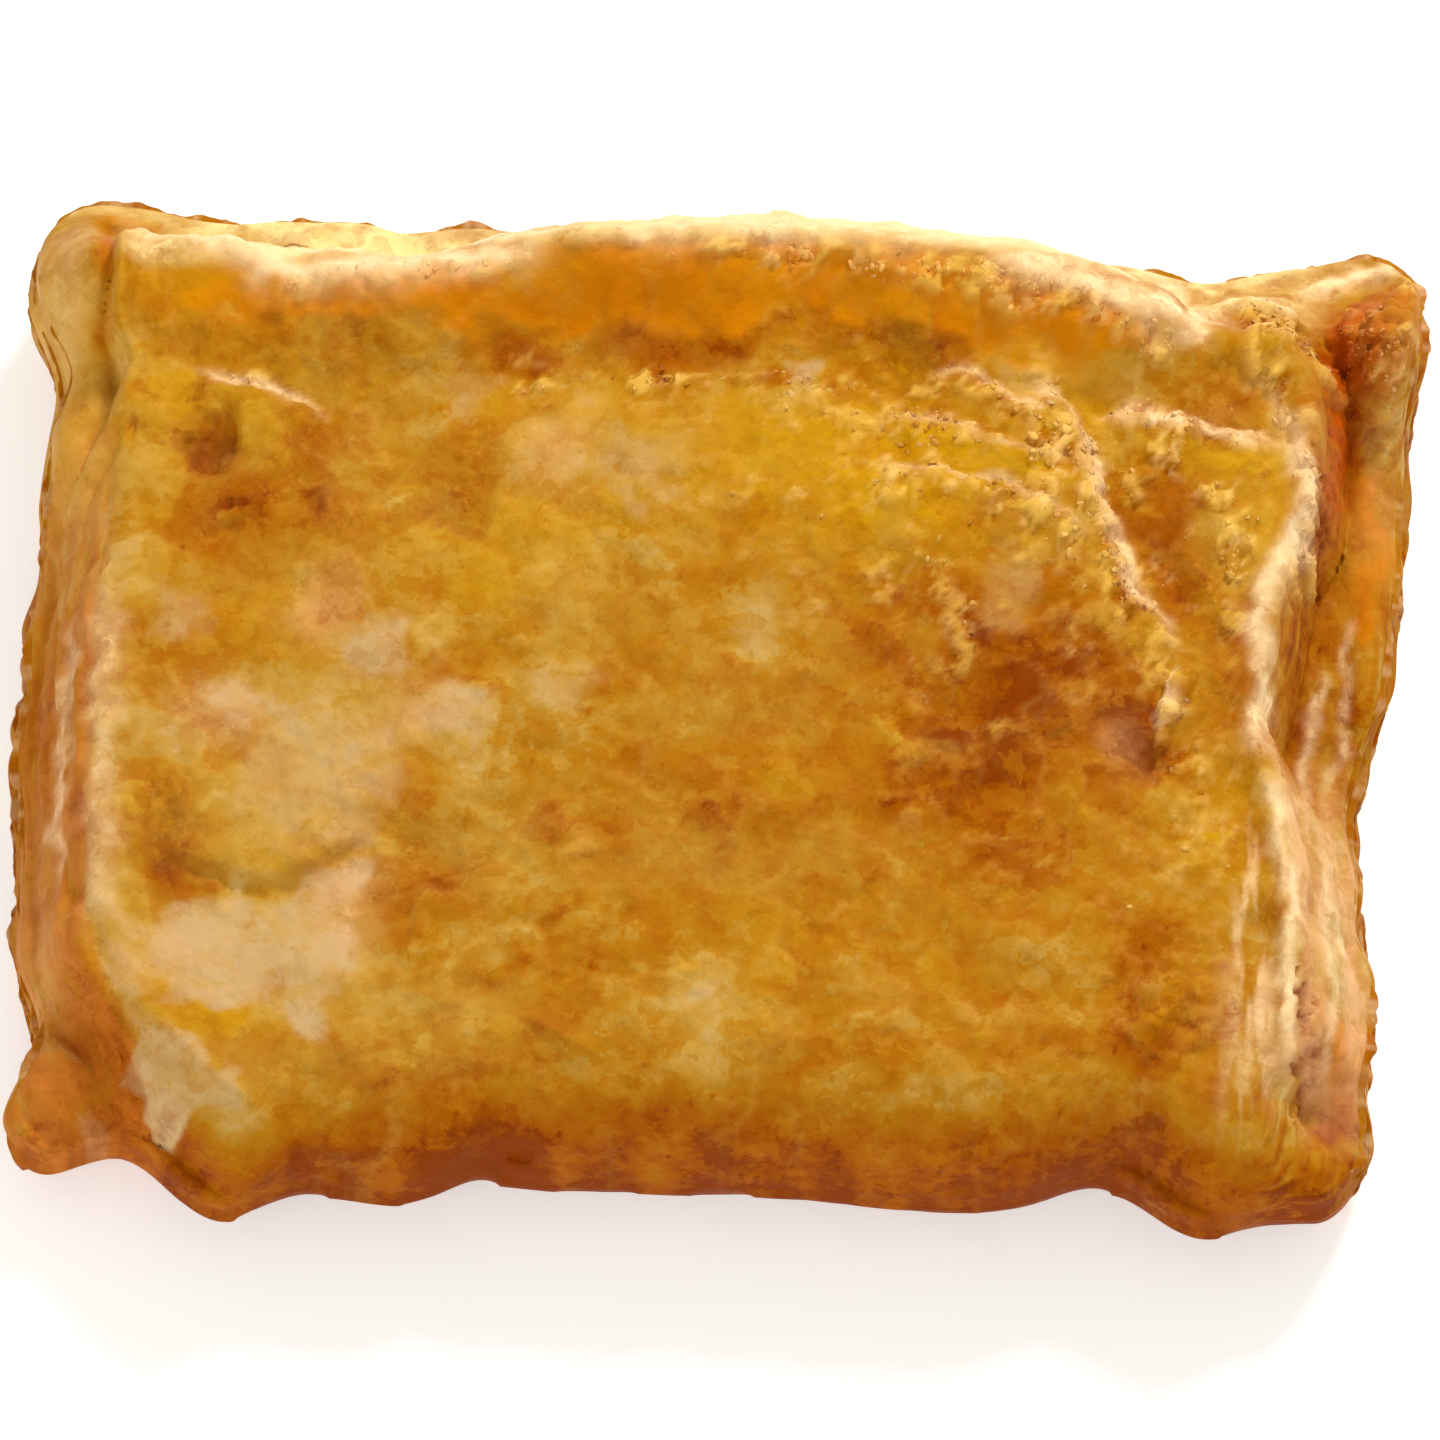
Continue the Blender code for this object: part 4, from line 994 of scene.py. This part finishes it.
def add_crumbs(rng, top, normals, masks, material):
    """Rounded crumbs, half sunk where the crust has broken up, in its colours there."""
    ball = bmesh.new()
    bmesh.ops.create_icosphere(ball, subdivisions=2, radius=1.0)
    shape = np.array([vert.co[:] for vert in ball.verts])
    faces = [[vert.index for vert in face.verts] for face in ball.faces]
    ball.free()

    weight = (masks["crumb"] ** 2 * (masks["crumb"] > 0.2)).ravel()
    chosen = rng.choice(weight.size, CRUMB_COUNT, p=weight / weight.sum())
    places = top.reshape(-1, 3)[chosen]
    ahead, across, up = frames(rng, normals.reshape(-1, 3)[chosen], 0.25)
    size = np.clip(np.exp(rng.normal(math.log(CRUMB_RADIUS), 0.35, CRUMB_COUNT)), 0.12, 0.5)
    rough = 1 + 0.13 * rng.normal(size=(CRUMB_COUNT, len(shape), 1))
    stretch = rng.uniform((0.9, 0.6, 0.3), (1.7, 1.1, 0.55), (CRUMB_COUNT, 3))
    local = shape[None] * rough * stretch[:, None] * size[:, None, None]
    turned = local[..., :1] * ahead[:, None] + local[..., 1:2] * across[:, None]
    turned = turned + local[..., 2:] * up[:, None]
    points = turned + (places - up * 0.25 * size[:, None])[:, None]
    faces = [[corner + crumb * len(shape) for corner in face]
             for crumb in range(CRUMB_COUNT) for face in faces]

    tones = {name: grid.ravel()[chosen] for name, grid in masks.items()}
    tones["brown"] += rng.normal(-0.08, 0.12, CRUMB_COUNT) + 0.4 * (rng.random(CRUMB_COUNT) < 0.15)
    tones["bead"] = 0.55 * rng.uniform(0.0, 1.0, CRUMB_COUNT) ** 1.6
    tones["yellow"] *= 0.4
    tones = {name: np.repeat(values, len(shape)) for name, values in tones.items()}
    add_piece("crumbs", points.reshape(-1, 3), faces, material, tones)


def add_leaves(side, material):
    """The leaves of the sealed edges: thin ragged strips that stand out of the cut edge."""
    sealed = np.flatnonzero(side.fold < 0.4)
    gap = int(np.argmax(np.diff(sealed, append=sealed[0] + len(side.fold))))
    run = np.roll(sealed, -gap - 1)
    travel, level = side.travel[run], np.zeros(len(run))
    ends = fade(0, 12, np.minimum(np.arange(len(run)), np.arange(len(run))[::-1]))
    outward = np.column_stack([side.outward[run], level])
    points, faces, brown, pale = [], [], [], []
    for leaf in range(LEAF_COUNT):
        ragged = fractal(travel, level + 9.0 * leaf, 4.0, 501)
        nicks = fractal(travel, level + 9.0 * leaf, 1.1, 511)
        reach = (0.15 + 0.75 * ragged + 0.22 * nicks) * ends - 0.6 * (1 - ends)
        wave = 0.35 * value_noise(travel, level + 5.0 * leaf, 6.0, 521)
        thick = LEAF_THICKNESS * (1 + 0.5 * value_noise(travel, level + 5.0 * leaf, 2.5, 531))
        body = side.at((leaf + 0.7) / (LEAF_COUNT + 0.4))[run]
        section = ((level - 1.4, 0.5), (reach - 0.12, 0.42), (reach, 0.0), (reach - 0.12, -0.42),
                   (level - 1.4, -0.5))
        faces += [face[::-1] for face in grid_faces(len(section), len(run), sum(map(len, points)))]
        for outside, above in section:
            points.append(body + outward * outside[:, None])
            points[-1][:, 2] += wave + above * thick
        brown.append(np.tile(0.5 + 0.3 * ragged + 0.04 * leaf, len(section)))
        pale.append(np.tile(fade(0.1, 0.6, nicks + 0.4 * ragged), len(section)))
    add_piece("leaf_edges", np.concatenate(points), faces, material,
              {"brown": np.concatenate(brown), "pale": 0.3 * np.concatenate(pale)})


class Nodes:
    """Short calls for the nodes of one material."""

    def __init__(self, name):
        self.material = bpy.data.materials.new(name)
        self.material.use_nodes = True
        self.tree = self.material.node_tree
        self.shader = self.tree.nodes["Principled BSDF"]

    def set(self, node, inputs):
        """Links each of these inputs to a socket, or gives it a value."""
        for name, value in inputs.items():
            if isinstance(value, bpy.types.NodeSocket):
                self.tree.links.new(value, node.inputs[name])
            else:
                node.inputs[name].default_value = value

    def add(self, kind, inputs, output=0, **settings):
        node = self.tree.nodes.new("ShaderNode" + kind)
        for name, value in settings.items():
            setattr(node, name, value)
        self.set(node, inputs)
        return node.outputs[output]

    def math(self, operation, first, second=0.0, clamp=False):
        return self.add("Math", {0: first, 1: second}, operation=operation, use_clamp=clamp)

    def times(self, first, second, clamp=False):
        return self.math("MULTIPLY", first, second, clamp)

    def plus(self, value, other, times=1.0):
        return self.add("Math", {0: other, 1: times, 2: value}, operation="MULTIPLY_ADD")

    def attribute(self, name):
        return self.add("Attribute", {}, "Fac", attribute_name=name)

    def place(self):
        return self.add("TexCoord", {}, "Object")

    def stretched(self, place, stretch):
        return self.add("Mapping", {"Vector": place, "Scale": stretch}, "Vector")

    def noise(self, millimetres, detail=2.0, stretch=(1.0, 1.0, 1.0)):
        """Noise of that size, from -0.5 to 0.5."""
        inputs = {"Vector": self.stretched(self.place(), stretch), "Detail": detail}
        inputs["Scale"] = 1.0 / (millimetres * MILLIMETRE)
        return self.math("SUBTRACT", self.add("TexNoise", inputs, "Fac"), 0.5)

    def mosaic(self, millimetres, stretch):
        """A random shade for each scrap of that size with ragged edges."""
        size, place = millimetres * MILLIMETRE, self.place()
        inputs = {"Vector": place, "Scale": 1.0 / (SCRAP_WAVE * size), "Detail": 2.0}
        pushed = self.add("VectorMath", {0: self.add("TexNoise", inputs, "Color"),
                                         1: (SCRAP_RAGGED * size,) * 3, 2: place},
                          operation="MULTIPLY_ADD")
        inputs = {"Vector": self.stretched(pushed, stretch), "Scale": 1.0 / size}
        shades = self.add("TexVoronoi", inputs, "Color")
        shade = self.add("SeparateColor", {"Color": shades}, "Red")
        return self.math("SUBTRACT", shade, 0.5)

    def ramp(self, value, stops):
        colour = self.add("ValToRGB", {"Fac": value}, "Color")
        elements = colour.node.color_ramp.elements
        for element, (place, tint) in zip(elements, stops):
            element.position, element.color = place, (*tint, 1.0)
        for place, tint in stops[2:]:
            elements.new(place).color = (*tint, 1.0)
        return colour

    def mixed(self, share, first, tint):
        inputs = {0: share, 6: first, 7: (*tint, 1.0)}
        return self.add("Mix", inputs, 2, data_type="RGBA")

    def bump(self, height, millimetres, strength):
        inputs = {"Height": height, "Distance": millimetres * MILLIMETRE, "Strength": strength}
        return self.add("Bump", inputs, "Normal")


def pastry_finish(name, roughness, gleam):
    """Baked puff pastry: colour from its masks with fine mottling, egg gloss, fine grain."""
    nodes = Nodes(name)
    mask, noise, plus, times = nodes.attribute, nodes.noise, nodes.plus, nodes.times
    face = nodes.math("SUBTRACT", 1.0, mask("amber"), clamp=True)
    scrap, shred = nodes.mosaic(2.4, (1.0, 1.4, 1.0)), nodes.mosaic(1.1, (1.0, 1.3, 1.0))
    scraps = times(plus(times(shred, 0.7), scrap), face)
    streak = times(noise(0.8, 3.0, (0.35, 0.06, 1.0)), mask("side"))
    ticks = times(plus(-0.16, noise(1.5, 2.0, (1.0, 0.6, 1.0))), 6.0, clamp=True)
    brown = mask("brown")
    for value, amount in ((noise(3.2, 3.0), 0.14), (noise(0.9), 0.10), (scraps, 0.16),
                          (streak, 1.2), (ticks, 0.35)):
        brown = plus(brown, value, amount)
    colour = nodes.ramp(brown, BAKED_COLOURS)
    mottle = plus(0.95, noise(2.6, 3.0, (1.0, 0.6, 1.0)), 0.8)
    mottle = plus(plus(mottle, scraps, -0.5), streak, 1.5)
    for overlay, tint, strength in OVERLAYS:
        share = times(times(mask(overlay), strength), mottle, clamp=True)
        colour = nodes.mixed(share, colour, tint)

    rough = plus(roughness, noise(1.4), 0.25)
    rough = plus(plus(rough, mask("yellow"), -0.14), mask("crumb"), -0.12)
    leaf_lines = times(noise(1.6, 2.0, (0.12, 0.12, 1.6)), mask("leaf"))
    height = plus(plus(noise(1.3, 2.5), leaf_lines, 2.2), streak, 1.6)
    nodes.set(nodes.shader, {
        "Base Color": colour, "Roughness": rough, "Normal": nodes.bump(height, 0.35, 0.7),
        "Specular IOR Level": gleam, "Specular Tint": GLOSS_TINT})
    return nodes.material


def aimed(name, data, place, target):
    thing = bpy.data.objects.new(name, data)
    bpy.context.scene.collection.objects.link(thing)
    thing.location = place
    thing.rotation_euler = (Vector(target) - Vector(place)).to_track_quat("-Z", "Y").to_euler()
    return thing


def add_light(name, azimuth, elevation, distance, size, watts, colour):
    """An area light; azimuth 0 is behind the pie and 90 is at its right."""
    light = bpy.data.lights.new(name, "AREA")
    light.shape = "DISK"
    light.size, light.energy, light.color = size, watts, colour
    turn, lift = math.radians(azimuth), math.radians(elevation)
    flat, target = distance * math.cos(lift), (0, 0, AIM_HEIGHT * MILLIMETRE)
    place = (flat * math.sin(turn), flat * math.cos(turn), distance * math.sin(lift))
    aimed(name, light, place, target)


def add_stage():
    world = bpy.data.worlds.new("studio")
    bpy.context.scene.world = world
    world.use_nodes = True
    sky = world.node_tree.nodes["Background"].inputs
    sky["Color"].default_value, sky["Strength"].default_value = SKY_COLOUR, SKY_STRENGTH

    mesh = bpy.data.meshes.new("floor")
    far = FLOOR_SIZE / 2
    corners = [(x, y, 0.0) for y in (-far, far) for x in (-far, far)]
    mesh.from_pydata(corners, [], [(0, 1, 3, 2)])
    nodes = Nodes("floor_white")
    nodes.set(nodes.shader, {
        "Base Color": FLOOR_COLOUR, "Roughness": 0.85,
        "Emission Color": GLOW_COLOUR, "Emission Strength": FLOOR_GLOW})
    mesh.materials.append(nodes.material)
    piece = bpy.data.objects.new("floor", mesh)
    bpy.context.scene.collection.objects.link(piece)

    for light in LIGHTS:
        add_light(*light)


def add_camera():
    """The photo's view: from the front, well above, with the pie turned a little."""
    lens = bpy.data.cameras.new("camera")
    lens.sensor_width = SENSOR
    lens.lens = SENSOR * CAMERA_DISTANCE / FRAME_WIDTH
    lens.clip_end = 100.0
    lift = math.radians(CAMERA_ELEVATION)
    target = Vector((*PLAN_SHIFT, AIM_HEIGHT)) * MILLIMETRE
    place = target + Vector((0, -math.cos(lift), math.sin(lift))) * CAMERA_DISTANCE * MILLIMETRE
    camera = aimed("camera", lens, place, target)
    camera.rotation_euler.rotate_axis("Z", math.radians(CAMERA_ROLL))
    bpy.context.scene.camera = camera
    bpy.context.scene.view_settings.view_transform = "Standard"


def main():
    rng = np.random.default_rng(77)
    crust = pastry_finish("baked_pastry", 0.56, 0.05)
    loose = pastry_finish("pastry_crumb", 0.55, 0.25)
    top, normals, masks = fine_top()
    side = Side(around(top))
    add_crust(top, masks, side, crust)
    add_leaves(side, crust)
    add_crumbs(rng, top, normals, masks, loose)
    add_stage()
    add_camera()


main()
